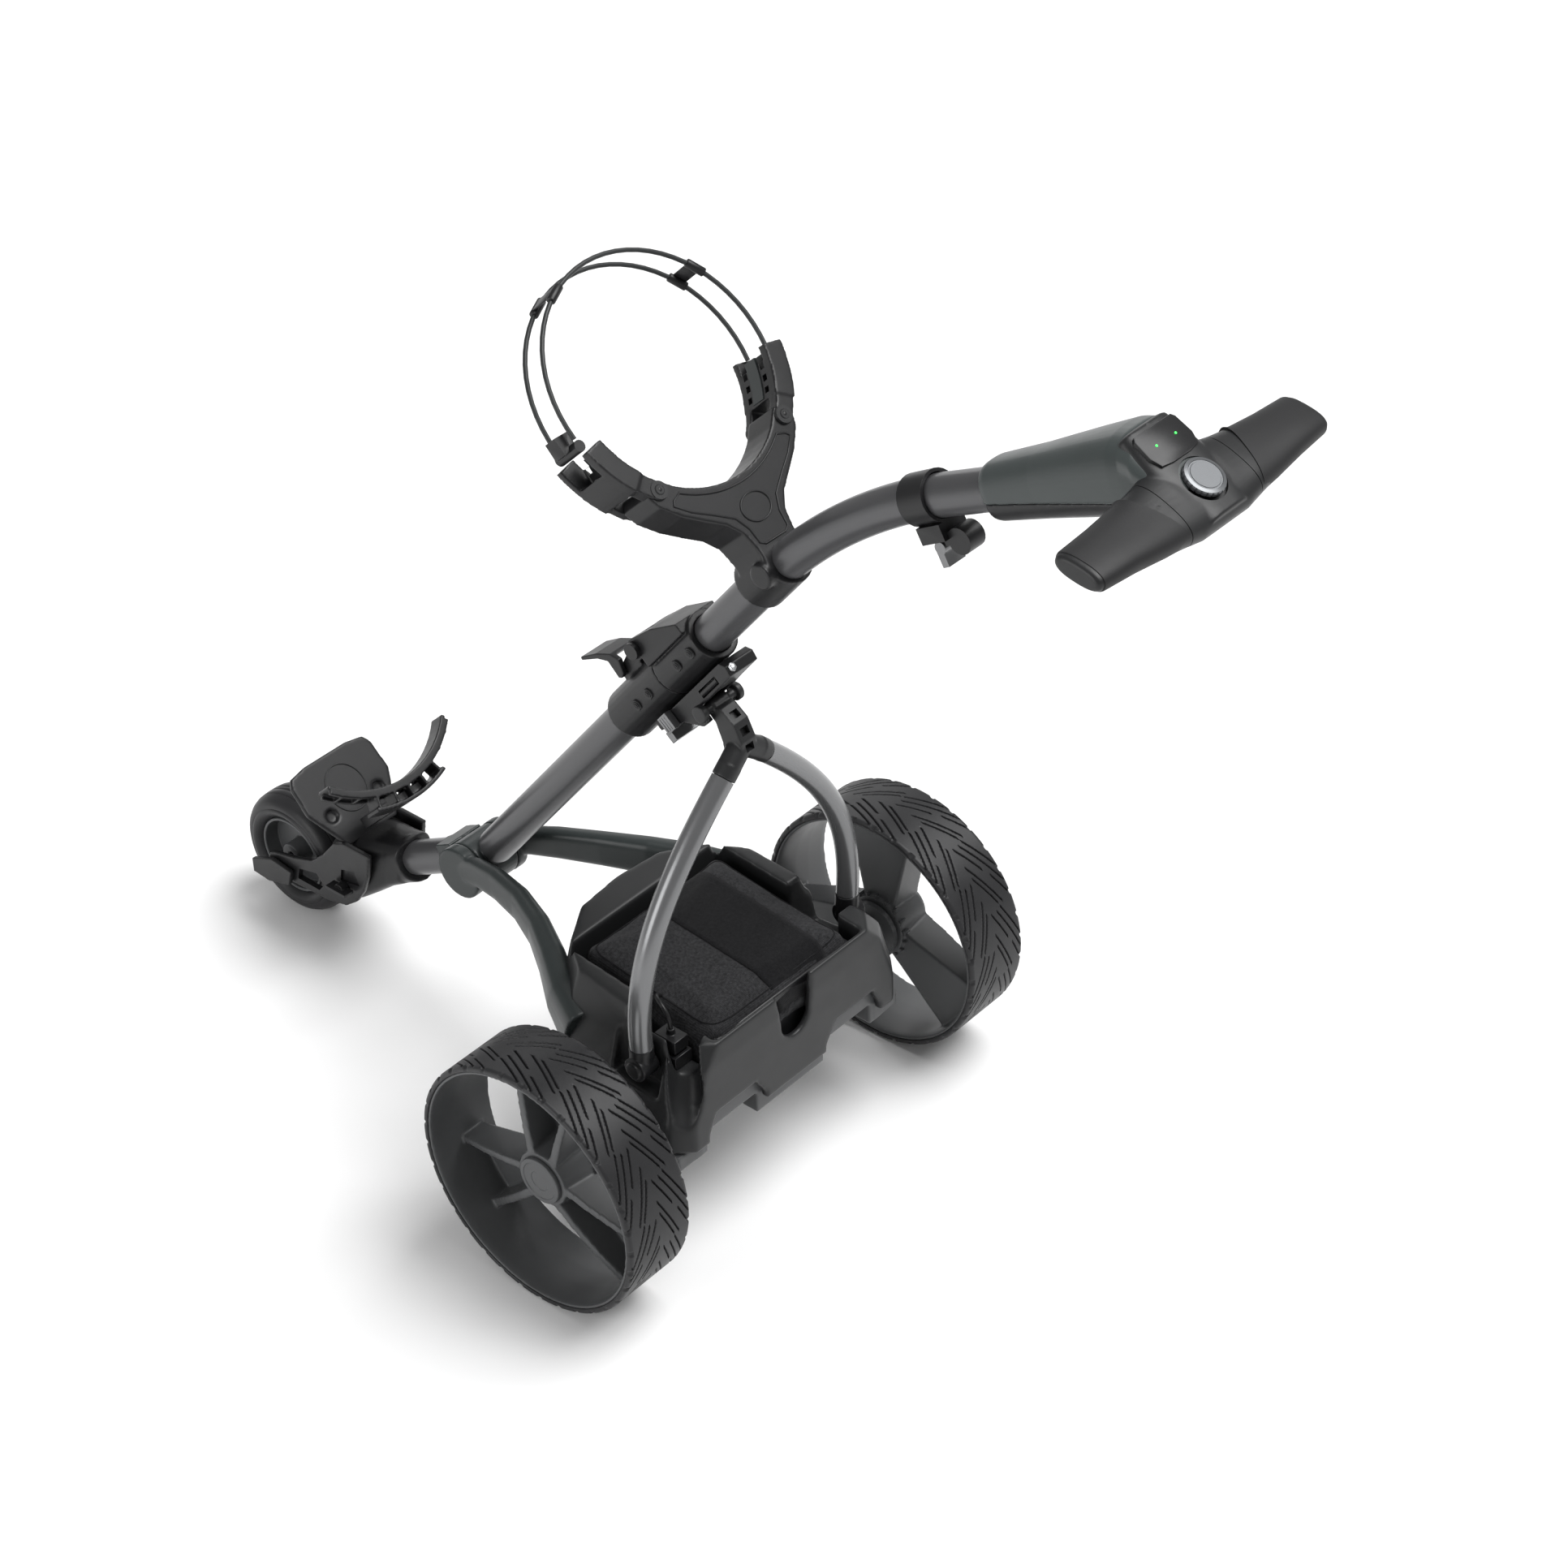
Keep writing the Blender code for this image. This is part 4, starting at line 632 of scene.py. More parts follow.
def tread_cut(around, x):
    """How deep the tread is cut at a place: around in turns, x across from the middle."""
    v = abs(x) / TREAD_HALF
    mirror = 0.5 if x < 0 else 0.0
    phase = around * TREAD_PITCHES + mirror + 1.15 * v
    cut = 0.0
    for start, stop, offset in GROOVES:
        if start < v < stop:
            cut = max(cut, channel(phase + offset, 0.026))
    if v > 0.90:
        cut = max(cut, channel(around * TREAD_PITCHES * 3 + mirror, 0.13) * 0.7)
    return cut * TREAD_DEPTH


def rear_tyre(side, label):
    centre = Vector((side * WHEEL_X, REAR_AXLE_Y, REAR_RADIUS))
    rows = 104
    crown = [(-0.0375 + 0.075 * i / rows, 0.1369) for i in range(rows + 1)]
    shoulder = [(0.0395, 0.1362), (0.0405, 0.1352), (0.041, 0.1338), (0.041, 0.1318), (0.0400, 0.1308)]
    profile = [(-x, r) for x, r in reversed(shoulder)] + crown + shoulder
    bm = spun(profile, 780, Matrix.Translation(centre))
    for vert in bm.verts:
        x, y, z = vert.co - centre
        r = math.hypot(y, z)
        if r > 0.1335:
            around = math.atan2(z, y) / (2 * math.pi)
            vert.co = centre + Vector((x, y, z)) - Vector((0, y, z)) / r * tread_cut(around, x)
    node = "tyre_" + label
    return made(node + "_tread", bm, RUBBER, "wheel_" + label, "rubber", (node,), 55)


rear_tyre(1, "left")
rear_tyre(-1, "right")


def front_tyre():
    half_ring = [
        (0.0200, 0.0462), (0.0262, 0.0530), (0.0270, 0.0560), (0.0266, 0.0580), (0.0254, 0.0592),
        (0.0256, 0.0606), (0.0248, 0.0640), (0.0222, 0.0676), (0.0180, 0.0704), (0.0130, 0.0721),
        (0.0118, 0.0712), (0.0106, 0.0724), (0.0040, 0.0729), (0.0028, 0.0719), (0.0016, 0.0729),
    ]
    profile = half_ring + [(-x, r) for x, r in reversed(half_ring)]
    place = Matrix.Translation((0, REAR_AXLE_Y - 0.630, 0.073))
    bm = spun(profile, 144, place)
    made("front_tyre_surface", bm, RUBBER, "wheel_front", "rubber", ("front_tyre",), 50)


front_tyre()

# %% [markdown]
# A rear wheel is one moulding: a smooth barrel, three pairs of ribs with a closed pocket
# between each pair, and a hub. They are drawn here as one mesh, which is then sampled and
# smoothed. The round cap over the hub and the ribbed drum behind it are separate pieces.

# %% Wheels
crisp("front_rim", RIM, 0.0011)
# A rib from hub to barrel: distance out, distance from its pair's middle, outer edge, thickness.
RIB = (
    (0.0200, 0.0125, 0.0168, 0.0105),
    (0.0500, 0.0200, 0.0150, 0.0090),
    (0.0850, 0.0285, 0.0105, 0.0084),
    (0.1130, 0.0350, 0.0050, 0.0084),
    (0.1280, 0.0385, 0.0020, 0.0096),
)
RIB_BACK = -0.0240


def rear_rim(side, label):
    centre = Matrix.Translation((side * WHEEL_X, REAR_AXLE_Y, REAR_RADIUS))
    barrel = [
        (0.0402, 0.1280), (0.0400, 0.1306), (0.0380, 0.1312), (-0.0380, 0.1312), (-0.0400, 0.1306),
        (-0.0402, 0.1280), (-0.0330, 0.1270), (-0.0100, 0.1258), (0.0100, 0.1258), (0.0330, 0.1270),
    ]
    bm = spun(barrel, 160, centre)
    hub = centre @ Matrix.Translation((-side * 0.0280, 0, 0))
    hub = hub @ Matrix.Rotation(side * math.radians(90), 4, "Y")
    disc(bm, hub, 0.0345, 0.0455, 56, 0.0298)
    for degrees in (90, 210, 330):
        angle = math.radians(degrees)
        out = Vector((0, math.cos(angle), math.sin(angle)))
        along = Vector((0, -math.sin(angle), math.cos(angle)))
        for half in (1, -1):
            rings = []
            for distance, away, edge, thick in RIB:
                ring = []
                for x in (RIB_BACK, edge):
                    for t in (-thick / 2, thick / 2) if x == RIB_BACK else (thick / 2, -thick / 2):
                        spot = Vector((side * x, 0, 0)) + out * distance + along * (half * away + t)
                        ring.append(centre @ spot)
                rings.append(ring)
            loft(bm, rings)
        floor_rings = []
        for distance, away, edge, thick in RIB:
            ring = []
            front = RIB_BACK + 0.004
            for x, t in ((RIB_BACK, -away), (RIB_BACK, away), (front, away), (front, -away)):
                ring.append(centre @ (Vector((side * x, 0, 0)) + out * distance + along * t))
            floor_rings.append(ring)
        loft(bm, floor_rings)
    moulded("rim_" + label, RIM, 0.0015, 4, 0.35, bm)


rear_rim(1, "left")
rear_rim(-1, "right")
for side, label in ((1, "left"), (-1, "right")):
    face = Matrix.Translation((side * (WHEEL_X + 0.0178), REAR_AXLE_Y, REAR_RADIUS))
    face = face @ Matrix.Rotation(side * math.radians(90), 4, "Y")
    cap = bmesh.new()
    disc(cap, face, 0.0258, 0.0042, 64, 0.0250)
    soften(cap, 0.0008)
    top = max(cap.faces, key=lambda f: side * f.calc_center_median().x)
    bmesh.ops.inset_region(cap, faces=[top], thickness=0.0035, depth=0)
    bmesh.ops.inset_region(cap, faces=[top], thickness=0.0007, depth=-0.0007)
    bmesh.ops.inset_region(cap, faces=[top], thickness=0.0090, depth=0.0)
    bmesh.ops.inset_region(cap, faces=[top], thickness=0.0006, depth=-0.0005)
    made("hub_cap_" + label, cap, RIM, "wheel_" + label, "rim_plastic")
    drum = bmesh.new()
    for i in range(18):
        angle = 2 * math.pi * i / 18
        spot = Matrix.Translation((side * (WHEEL_X - 0.0235), REAR_AXLE_Y, REAR_RADIUS))
        spot = spot @ Matrix.Rotation(angle, 4, "X") @ Matrix.Translation((0, 0, 0.0362))
        block(drum, spot, (0.0090, 0.0030, 0.0040))
    soften(drum, 0.0006)
    made("hub_ribs_" + label, drum, RIM, "wheel_" + label, "rim_plastic")

# %% [markdown]
# The tray, the arms, the cradle and the handle are thick mouldings whose edges are all
# rounded. Sampling a shape finely and smoothing it gives that moulded roundness. Most start
# from the design shape. The arms, the fork and the bag's lower rest are drawn again first,
# because the real ones are rounder than the design model's.

# %% Moulded pieces
moulded("battery_tray", PLASTIC, 0.0021, 12, 0.4)
moulded("tray_undercover", RIM, 0.0015, 3, 0.3)
# Along an arm: its middle, half width and half height, up to where it flares into the tray.
ARM = (
    (0.0305, -0.2620, 0.2010, 0.0078, 0.0150),
    (0.0360, -0.2350, 0.2120, 0.0088, 0.0162),
    (0.0450, -0.1980, 0.2210, 0.0098, 0.0178),
    (0.0600, -0.1500, 0.2275, 0.0108, 0.0192),
    (0.0800, -0.1050, 0.2285, 0.0122, 0.0208),
    (0.1010, -0.0680, 0.2225, 0.0140, 0.0240),
    (0.1225, -0.0340, 0.2090, 0.0158, 0.0290),
    (0.1370, 0.0020, 0.1930, 0.0170, 0.0330),
)
for side, label in ((1, "left"), (-1, "right")):
    arm = bmesh.new()
    rings = []
    for i, (x, y, z, wide, high) in enumerate(ARM):
        before, after = ARM[max(i - 1, 0)], ARM[min(i + 1, len(ARM) - 1)]
        way = Vector((after[0] - before[0], after[1] - before[1], after[2] - before[2])).normalized()
        across = way.cross(Vector((0, 0, 1))).normalized()
        up = across.cross(way)
        outline = []
        for a, b in oval(wide, high, 3.0, 32):
            point = Vector((x, y, z)) + across * a + up * b
            outline.append(Vector((side * point.x, point.y, point.z)))
        rings.append(outline)
    loft(arm, rings)
    eye = Matrix.Translation((side * 0.0236, -0.2668, 0.1955))
    eye = eye @ Matrix.Rotation(side * math.radians(90), 4, "Y")
    disc(arm, eye, 0.0290, 0.0140, 56)
    moulded("arm_" + label, SLATE, 0.0014, 8, 0.45, arm)
    moulded("leg_foot_" + label, DARK, 0.0009, 4, 0.4)
    rails = moulded("cradle_arm_" + label, DARK, 0.0011, 4, 0.5)
    slots = bmesh.new()
    for degrees in (-31.5, -25.5, -19.5, -14.5):
        for across in (-0.0135, 0.0150):
            angle = math.radians(degrees)
            spot = Matrix.Translation((side * 0.1085 * math.cos(angle), across, 0.1085 * math.sin(angle)))
            spot = HOOP @ spot @ Matrix.Rotation(-angle * side, 4, "Y")
            block(slots, spot, (0.016, 0.0062, 0.0060))
    pierce(rails, slots)
leg_yoke = moulded("leg_yoke", PLASTIC, 0.0010, 6, 0.4)
slots = bmesh.new()
for y, z, lean in ((0.0392, 0.5080, 90), (0.0348, 0.5240, 117), (0.0232, 0.5380, 144)):
    block(slots, tilt((y, z), lean), (0.0105, 0.0080, 0.0120))
pierce(leg_yoke, slots)
moulded("elbow_knuckle", SLATE, 0.0011, 4, 0.5)
moulded("front_socket", SLATE, 0.0010, 4, 0.5)
moulded("upper_collar", DARK, 0.0010, 4, 0.4)
moulded("lower_collar", DARK, 0.0010, 4, 0.4)
SIDEWAYS = Matrix.Rotation(math.radians(90), 4, "Z")  # an outline's X becomes the trolley's Y
FORK = (
    (-0.5700, 0.0730), (-0.5660, 0.0840), (-0.5560, 0.0885), (-0.5250, 0.0960), (-0.4960, 0.1060),
    (-0.4760, 0.1240), (-0.4560, 0.1480), (-0.4380, 0.1560), (-0.4000, 0.1560), (-0.4020, 0.1430),
    (-0.4060, 0.1240), (-0.4150, 0.1020), (-0.4280, 0.0830),
    (-0.4460, 0.0690), (-0.4740, 0.0620), (-0.5300, 0.0590), (-0.5600, 0.0580), (-0.5680, 0.0630),
)
fork = bmesh.new()
for side in (1, -1):
    prism(fork, SIDEWAYS, FORK, -side * 0.0432, -side * 0.0365)
rings = []
for y, half, high, middle in (
    (-0.4700, 0.0400, 0.0380, 0.1060), (-0.4400, 0.0405, 0.0420, 0.1110), (-0.4150, 0.0345, 0.0360, 0.1240),
    (-0.3950, 0.0290, 0.0300, 0.1340), (-0.3760, 0.0262, 0.0265, 0.1420),
):
    rings.append([Vector((x, y, z + middle)) for x, z in oval(half, high, 3.2, 40)])
loft(fork, rings)
neck = Matrix.Translation((0, -0.4010, 0.1290)) @ Matrix.Rotation(math.radians(-61.6), 4, "X")
disc(fork, neck, 0.0262, 0.034, 48)
fork_piece = moulded("front_bracket", DARK, 0.0013, 8, 0.5, fork)
windows = bmesh.new()
window = [(-0.5220, 0.0700), (-0.5180, 0.0850), (-0.4900, 0.0920), (-0.4800, 0.0800), (-0.4880, 0.0700)]
prism(windows, SIDEWAYS, window, -0.06, -0.0300)
prism(windows, SIDEWAYS, window, 0.0300, 0.06)
notch = [(-0.4500, 0.1020), (-0.4470, 0.1180), (-0.4270, 0.1250), (-0.4200, 0.1080)]
prism(windows, SIDEWAYS, notch, -0.06, -0.0405)
prism(windows, SIDEWAYS, notch, 0.0405, 0.06)
pierce(fork_piece, windows)
moulded("bag_plate", DARK, 0.0014, 12, 0.5)
REST = tilt((-0.5255, 0.2230), BAG_PITCH)


def arc_band(bm, radii, across, span, steps=20):
    """A curved bar under the bag: radii, extent along the bag, and half its angle."""
    rings = []
    for i in range(steps + 1):
        angle = math.radians(-90 - span + 2 * span * i / steps)
        c, n = math.cos(angle), math.sin(angle)
        ring = []
        corners = ((0, 0), (0, 1), (1, 1), (1, 0))
        for r, y in ((radii[a], across[b]) for a, b in corners):
            ring.append(REST @ Vector((r * c, y, 0.080 + r * n)))
        rings.append(ring)
    loft(bm, rings)


rest = bmesh.new()
arc_band(rest, (0.1125, 0.1170), (0.0450, 0.0690), 46.5)
arc_band(rest, (0.1165, 0.1215), (0.0450, 0.0500), 45)
arc_band(rest, (0.1165, 0.1215), (0.0640, 0.0690), 45)
arc_band(rest, (0.1330, 0.1375), (0.0440, 0.0700), 21)
for degrees in (-38, -28, -19, -9, 0, 9, 19, 28, 38):
    angle = math.radians(-90 + degrees)
    middle, deep = (0.1250, 0.0190) if abs(degrees) < 20 else (0.1190, 0.0060)
    spot = Matrix.Translation((middle * math.cos(angle), 0.0570, 0.080 + middle * math.sin(angle)))
    block(rest, REST @ spot @ Matrix.Rotation(-angle, 4, "Y"), (deep, 0.0240, 0.0032))
block(rest, REST @ Matrix.Translation((0, 0.0180, -0.0500)), (0.0380, 0.0800, 0.0130))
moulded("lower_cradle", DARK, 0.0010, 3, 0.45, rest)
PLATE = tilt((-0.5450, 0.1860), BAG_PITCH)
ring = [PLATE @ Vector((x, 0.0001, z + 0.006)) for x, z in oval(0.0240, 0.0270, 2.0, 64)]
bead("plate_emblem", ring, 0.0008, DARK, "chassis")
moulded("hinge_latch", DARK, 0.0008, 4, 0.5)
moulded("quick_release_flap", DARK, 0.0008, 4, 0.5)

# %% [markdown]
# Pins, levers, clamps and the parts inside are small and hard, so they keep crisp edges.

# %% Crisp pieces
TAB_SHARE = 0.95  # the release tab is this much slimmer, to slide past the rounded bracket
catch = moulded("catch_bracket", DARK, 0.0009, 5, 0.45)
slots = bmesh.new()
block(slots, COLLAR @ Matrix.Translation((0.0200, 0.0700, -0.0365)), (0.0130, 0.0330, 0.0085))
pierce(catch, slots)
barrel = bmesh.new()
along_tube = Matrix.Rotation(math.radians(-90), 4, "X")
disc(barrel, COLLAR @ Matrix.Translation((0.0165, 0.0545, -0.0365)) @ along_tube, 0.0032, 0.0310, 20)
made("catch_barrel", barrel, DARK, "lower_frame", "dark_plastic")
nut = bmesh.new()
disc(nut, COLLAR @ Matrix.Translation((0.0120, 0.1040, -0.0365)) @ along_tube, 0.0046, 0.0050, 6)
disc(nut, COLLAR @ Matrix.Translation((0.0120, 0.1040, -0.0365)) @ along_tube, 0.0024, 0.0068, 16)
soften(nut, 0.0004)
made("catch_nut", nut, STEEL, "lower_frame", "steel")
for node in ("clip_ring", "hinge_pin", "wing_nut", "power_socket", "strap_hook", "motor"):
    crisp(node, DARK, 0.0008)
crisp("clip_lever", SILVER, 0.0009)
tab = crisp("release_tab", SILVER, 0.0009)
middle = sum((v.co for v in tab.data.vertices), Vector()) / len(tab.data.vertices)
for v in tab.data.vertices:
    v.co = middle.lerp(v.co, TAB_SHARE)
for node in ("axle_housing", "gearbox_case"):
    crisp(node, RIM, 0.0007)
for node in ("axle_shaft", "elbow_bolt", "drive_gear", "motor_pinion"):
    crisp(node, STEEL, 0.0003)
stem = bmesh.new()
disc(stem, BARS @ Matrix.Translation((0, 0, -0.0005)), 0.0035, 0.0100, 24)
made("dial_stem_shaft", stem, STEEL, node_body("dial_stem"), node_slot("dial_stem"), ("dial_stem",))
crisp("battery_case", DARK, 0.0020)
crisp("strap_anchor", CORD, 0.0010)

# %% [markdown]
# The handle is a broad moulding. Its upper half swells from the tube to a ridge, a panel
# slopes from the ridge down to the dial, and two flat wings spread to the sides with a
# rubber grip let into each.

# %% Handle
# Along the sleeve: distance, half width, top and bottom.
SHELL = (
    (0.000, 0.0255, 0.0255, -0.0255),
    (0.006, 0.0268, 0.0272, -0.0268),
    (0.060, 0.0300, 0.0315, -0.0285),
    (0.120, 0.0365, 0.0380, -0.0310),
    (0.156, 0.0408, 0.0412, -0.0340),
    (0.168, 0.0416, 0.0396, -0.0360),
    (0.178, 0.0414, 0.0335, -0.0375),
    (0.189, 0.0400, 0.0195, -0.0385),
    (0.201, 0.0375, 0.0040, -0.0385),
    (0.212, 0.0330, -0.0100, -0.0360),
)


def shell_loft(spare):
    rings = []
    for along, half, top, bottom in SHELL:
        outline = oval(half - spare, (top - bottom) / 2 - spare, 2.7, 48)
        rings.append([SLEEVE @ Vector((x, along, z + (top + bottom) / 2)) for x, z in outline])
    bm = bmesh.new()
    loft(bm, rings)
    return bm


def halved(bm, keep_upper):
    seam = Vector((0, 0.10, -0.0085))
    normal = SLEEVE.to_3x3() @ Vector((0, 0.045, 1)).normalized()
    geom = bm.verts[:] + bm.edges[:] + bm.faces[:]
    cut = bmesh.ops.bisect_plane(
        bm, geom=geom, plane_co=SLEEVE @ seam, plane_no=normal,
        clear_inner=keep_upper, clear_outer=not keep_upper,
    )
    edges = [e for e in cut["geom_cut"] if isinstance(e, bmesh.types.BMEdge)]
    bmesh.ops.edgeloop_fill(bm, edges=edges)
    return bm


moulded("handle_upper_shell", SHELL_SLATE, 0.0013, 4, 0.45, halved(shell_loft(0.0), True))
moulded("handle_lower_shell", DARK, 0.0013, 4, 0.45, halved(shell_loft(0.0009), False))

# Across a wing: distance from the middle, half depth, half height and a shift of its middle.
WING = (
    (0.000, 0.0360, 0.0160, 0.0000),
    (0.030, 0.0355, 0.0158, 0.0005),
    (0.050, 0.0320, 0.0150, 0.0010),
    (0.075, 0.0290, 0.0138, 0.0010),
    (0.110, 0.0262, 0.0122, 0.0005),
    (0.146, 0.0238, 0.0106, 0.0000),
    (0.151, 0.0225, 0.0094, 0.0000),
    (0.153, 0.0195, 0.0072, 0.0000),
)


def wing_ring(side, x, depth, height, middle, spare=0.0, slant=0.0):
    twist = math.radians(15) * min(1.0, max(0.0, (x - 0.03) / 0.08))
    c, n = math.cos(twist), math.sin(twist)
    points = []
    for y, z in oval(depth + spare, height + spare, 2.5, 44):
        points.append(BARS @ Vector((side * (x - slant * y), y * c - z * n + middle, y * n + z * c - 0.0030)))
    return points


def wing_loft(bm, side, start, stop, spare=0.0, slant=0.0):
    stations = [start] + [row[0] for row in WING if start < row[0] < stop] + [stop]
    rings = []
    for x in stations:
        for low, high in zip(WING, WING[1:]):
            if low[0] <= x <= high[0]:
                t = (x - low[0]) / (high[0] - low[0])
                size = [a + (b - a) * t for a, b in zip(low[1:], high[1:])]
        rings.append(wing_ring(side, x, *size, spare=spare, slant=slant if x == start else 0.0))
    loft(bm, rings)


bar = bmesh.new()
for side in (1, -1):
    wing_loft(bar, side, 0.0, 0.153, -0.0003)
# The head under the panel, from the ridge to the user's side of the bar.
HEAD = (
    (-0.0650, 0.0280, 0.0120, -0.012),
    (-0.0625, 0.0300, 0.0158, -0.014),
    (-0.0450, 0.0335, 0.0156, -0.020),
    (-0.0200, 0.0370, 0.0140, -0.022),
    (0.0100, 0.0360, 0.0134, -0.020),
    (0.0320, 0.0260, 0.0105, -0.016),
)
rings = []
for y, half, top, bottom in HEAD:
    outline = oval(half, (top - bottom) / 2, 3.4, 44)
    rings.append([BARS @ Vector((x, y, z + (top + bottom) / 2)) for x, z in outline])
loft(bar, rings)
bar_piece = moulded("console_bar", PLASTIC, 0.0013, 5, 0.45, bar)
grooves = bmesh.new()
for side in (1, -1):
    block(grooves, BARS @ Matrix.Translation((side * 0.0465, 0.0, 0.0)), (0.0008, 0.09, 0.05))
disc(grooves, BARS @ Matrix.Translation((0, 0, 0.0085)), 0.0212, 0.02, 64)
pierce(bar_piece, grooves)

for side, label in ((1, "left"), (-1, "right")):
    rubber = bmesh.new()
    wing_loft(rubber, side, 0.060, 0.1475, 0.0004, 0.35)
    node = "grip_" + label
    made(node + "_sleeve", rubber, GRIP, "handle", "grip_rubber", (node,))

panel = bmesh.new()
shield = [
    (-0.0240, -0.0575), (0.0240, -0.0575), (0.0265, -0.0540), (0.0275, -0.0360), (0.0235, -0.0255),
    (0.0110, -0.0235), (-0.0110, -0.0235), (-0.0235, -0.0255), (-0.0275, -0.0360), (-0.0265, -0.0540),
]
rings = []
for inset, lift in ((1.0, -0.003), (1.0, 0.0006), (0.975, 0.0010)):
    ring = []
    for x, y in shield:
        y = -0.041 + (y + 0.041) * inset
        ring.append(BARS @ Vector((x * inset, y, 0.0144 - (y + 0.0225) * 0.040 + lift)))
    rings.append(ring)
loft(panel, rings)
made("console_panel", panel, DARK, "handle", "dark_plastic", angle=30)
lamps = bmesh.new()
for side in (1, -1):
    disc(lamps, BARS @ Matrix.Translation((side * 0.0125, -0.0420, 0.0158)), 0.0010, 0.0009, 16)
made("console_lamps", lamps, LAMP, "handle", "dark_plastic")

well = bmesh.new()
disc(well, BARS @ Matrix.Translation((0, 0, 0.0072)), 0.0211, 0.0012, 64)
made("dial_well", well, DARK, "handle", "dark_plastic")
knob = bmesh.new()
rings = []
for radius, height in (
    (0.0180, 0.0124), (0.0186, 0.0131), (0.0186, 0.0158), (0.0178, 0.0170), (0.0150, 0.0177)
):
    ring = []
    for i in range(192):
        angle = 2 * math.pi * i / 192
        notch = 0.0007 if height < 0.0165 and i % 8 < 2 else 0.0
        spot = Vector(((radius - notch) * math.cos(angle), (radius - notch) * math.sin(angle), height))
        ring.append(BARS @ spot)
    rings.append(ring)
for radius, height in ((0.0146, 0.0171), (0.0132, 0.0171), (0.0128, 0.0176), (0.0002, 0.0176)):
    angles = [2 * math.pi * i / 192 for i in range(192)]
    rings.append([BARS @ Vector((radius * math.cos(a), radius * math.sin(a), height)) for a in angles])
loft(knob, rings)
made("speed_dial_knob", knob, DIAL, "dial", "dial_grey", ("speed_dial",), 30)

# %% [markdown]
# The bag's cradle is a forked yoke that clamps round the tube. Its outline follows the bag's
# hoop inside and sweeps down to a waist outside. A panel and a plain oval are let into it.

# %% Cradle
right_edge = [
    (0.0720, -0.0800), (0.0790, -0.0735), (0.0900, -0.0750), (0.0955, -0.0850), (0.0900, -0.0980),
    (0.0740, -0.1150), (0.0560, -0.1285), (0.0385, -0.1410), (0.0280, -0.1550), (0.0245, -0.1720),
    (0.0240, -0.1977),
]
hoop_inside = [
    (0.1085 * math.sin(math.radians(a)), -0.1085 * math.cos(math.radians(a))) for a in range(-36, 37, 6)
]
yoke_outline = hoop_inside + right_edge + [(-x, z) for x, z in reversed(right_edge)]
yoke = bmesh.new()
prism(yoke, HOOP, yoke_outline, -0.017, 0.026)
clamp = HOOP @ Matrix.Translation((0, -0.027, -0.1977)) @ Matrix.Rotation(math.radians(-83), 4, "X")
disc(yoke, clamp, 0.0268, 0.052, 48)
side_way = HOOP @ Matrix.Translation((0.010, 0.014, -0.1950)) @ Matrix.Rotation(math.radians(90), 4, "Y")
disc(yoke, side_way, 0.0125, 0.0210, 40)
moulded("cradle_yoke", DARK, 0.0013, 5, 0.45, yoke)
inset = [
    (0.1150 * math.sin(math.radians(a)), -0.1150 * math.cos(math.radians(a))) for a in range(-34, 35, 4)
]
inset_edge = [
    (0.0740, -0.0990), (0.0770, -0.1030), (0.0640, -0.1150), (0.0440, -0.1280), (0.0270, -0.1400),
    (0.0200, -0.1540), (0.0185, -0.1690), (0.0130, -0.1725),
]
inset = inset + inset_edge + [(-x, z) for x, z in reversed(inset_edge)]
line = [HOOP @ Vector((x, 0.0262, z)) for x, z in inset]
bead("cradle_outline", line, 0.0010, DARK, "handle")
ring = [HOOP @ Vector((x, 0.0262, z - 0.140)) for x, z in oval(0.0170, 0.0135, 2.0, 64)]
bead("cradle_emblem", ring, 0.0009, DARK, "handle")
turn_out = Matrix.Rotation(math.radians(-90), 4, "X")
for side, label in ((1, "left"), (-1, "right")):
    heads = bmesh.new()
    spot = HOOP @ Matrix.Translation((side * 0.0825, 0.0285, -0.0842)) @ turn_out
    disc(heads, spot @ Matrix.Translation((0, 0, -0.002)), 0.0092, 0.0026, 36, 0.0086)
    screw(heads, spot @ Matrix.Translation((0, 0, 0.0006)), 0.0050)
    made("cradle_screw_" + label, heads, PLASTIC, "cradle_arm_" + label + "_body", "dark_plastic")
    pad = bmesh.new()
    rings = []
    for degrees in range(-35, -11, 3):
        angle = math.radians(degrees)
        c, n = math.cos(angle), math.sin(angle)
        corners = ((0.1076, -0.0075), (0.1076, 0.0085), (0.1100, 0.0085), (0.1100, -0.0075))
        rings.append([HOOP @ Vector((side * r * c, y, r * n)) for r, y in corners])
    loft(pad, rings)
    made("cradle_pad_" + label, pad, SLATE, "cradle_arm_" + label + "_body", "dark_plastic")

# %% [markdown]
# Two sliders join the strap's cords. Each is a pair of short sleeves under one flat patch.

# %% Strap sliders
for number, degrees in enumerate((144.8, 64.5)):
    slider = bmesh.new()
    angle = math.radians(degrees)
    ahead = Vector((-math.sin(angle), 0, math.cos(angle)))
    out = Vector((math.cos(angle), 0, math.sin(angle)))
    frame_3 = Matrix((ahead, (0, 1, 0), -out)).transposed().to_4x4()
    spot = HOOP @ Matrix.Translation(out * BAG_RING_R) @ frame_3
    for across in (CORD_GAP, -CORD_GAP):
        start = spot @ Matrix.Translation((-0.0095, across, 0)) @ Matrix.Rotation(math.radians(90), 4, "Y")
        disc(slider, start, 0.0043, 0.019, 24)
    block(slider, spot @ Matrix.Translation((0, 0, -0.0028)), (0.0140, 0.0330, 0.0020))
    soften(slider, 0.0009)
    made(f"strap_slider_{number + 1}", slider, DARK, "strap", "cord_rubber")

# %% [markdown]
# The battery sits in a padded nylon bag. A slightly small, soft-cornered block is blown up
# as cloth, its swelling is limited, and a stitched edge and a wide strap are laid over it.

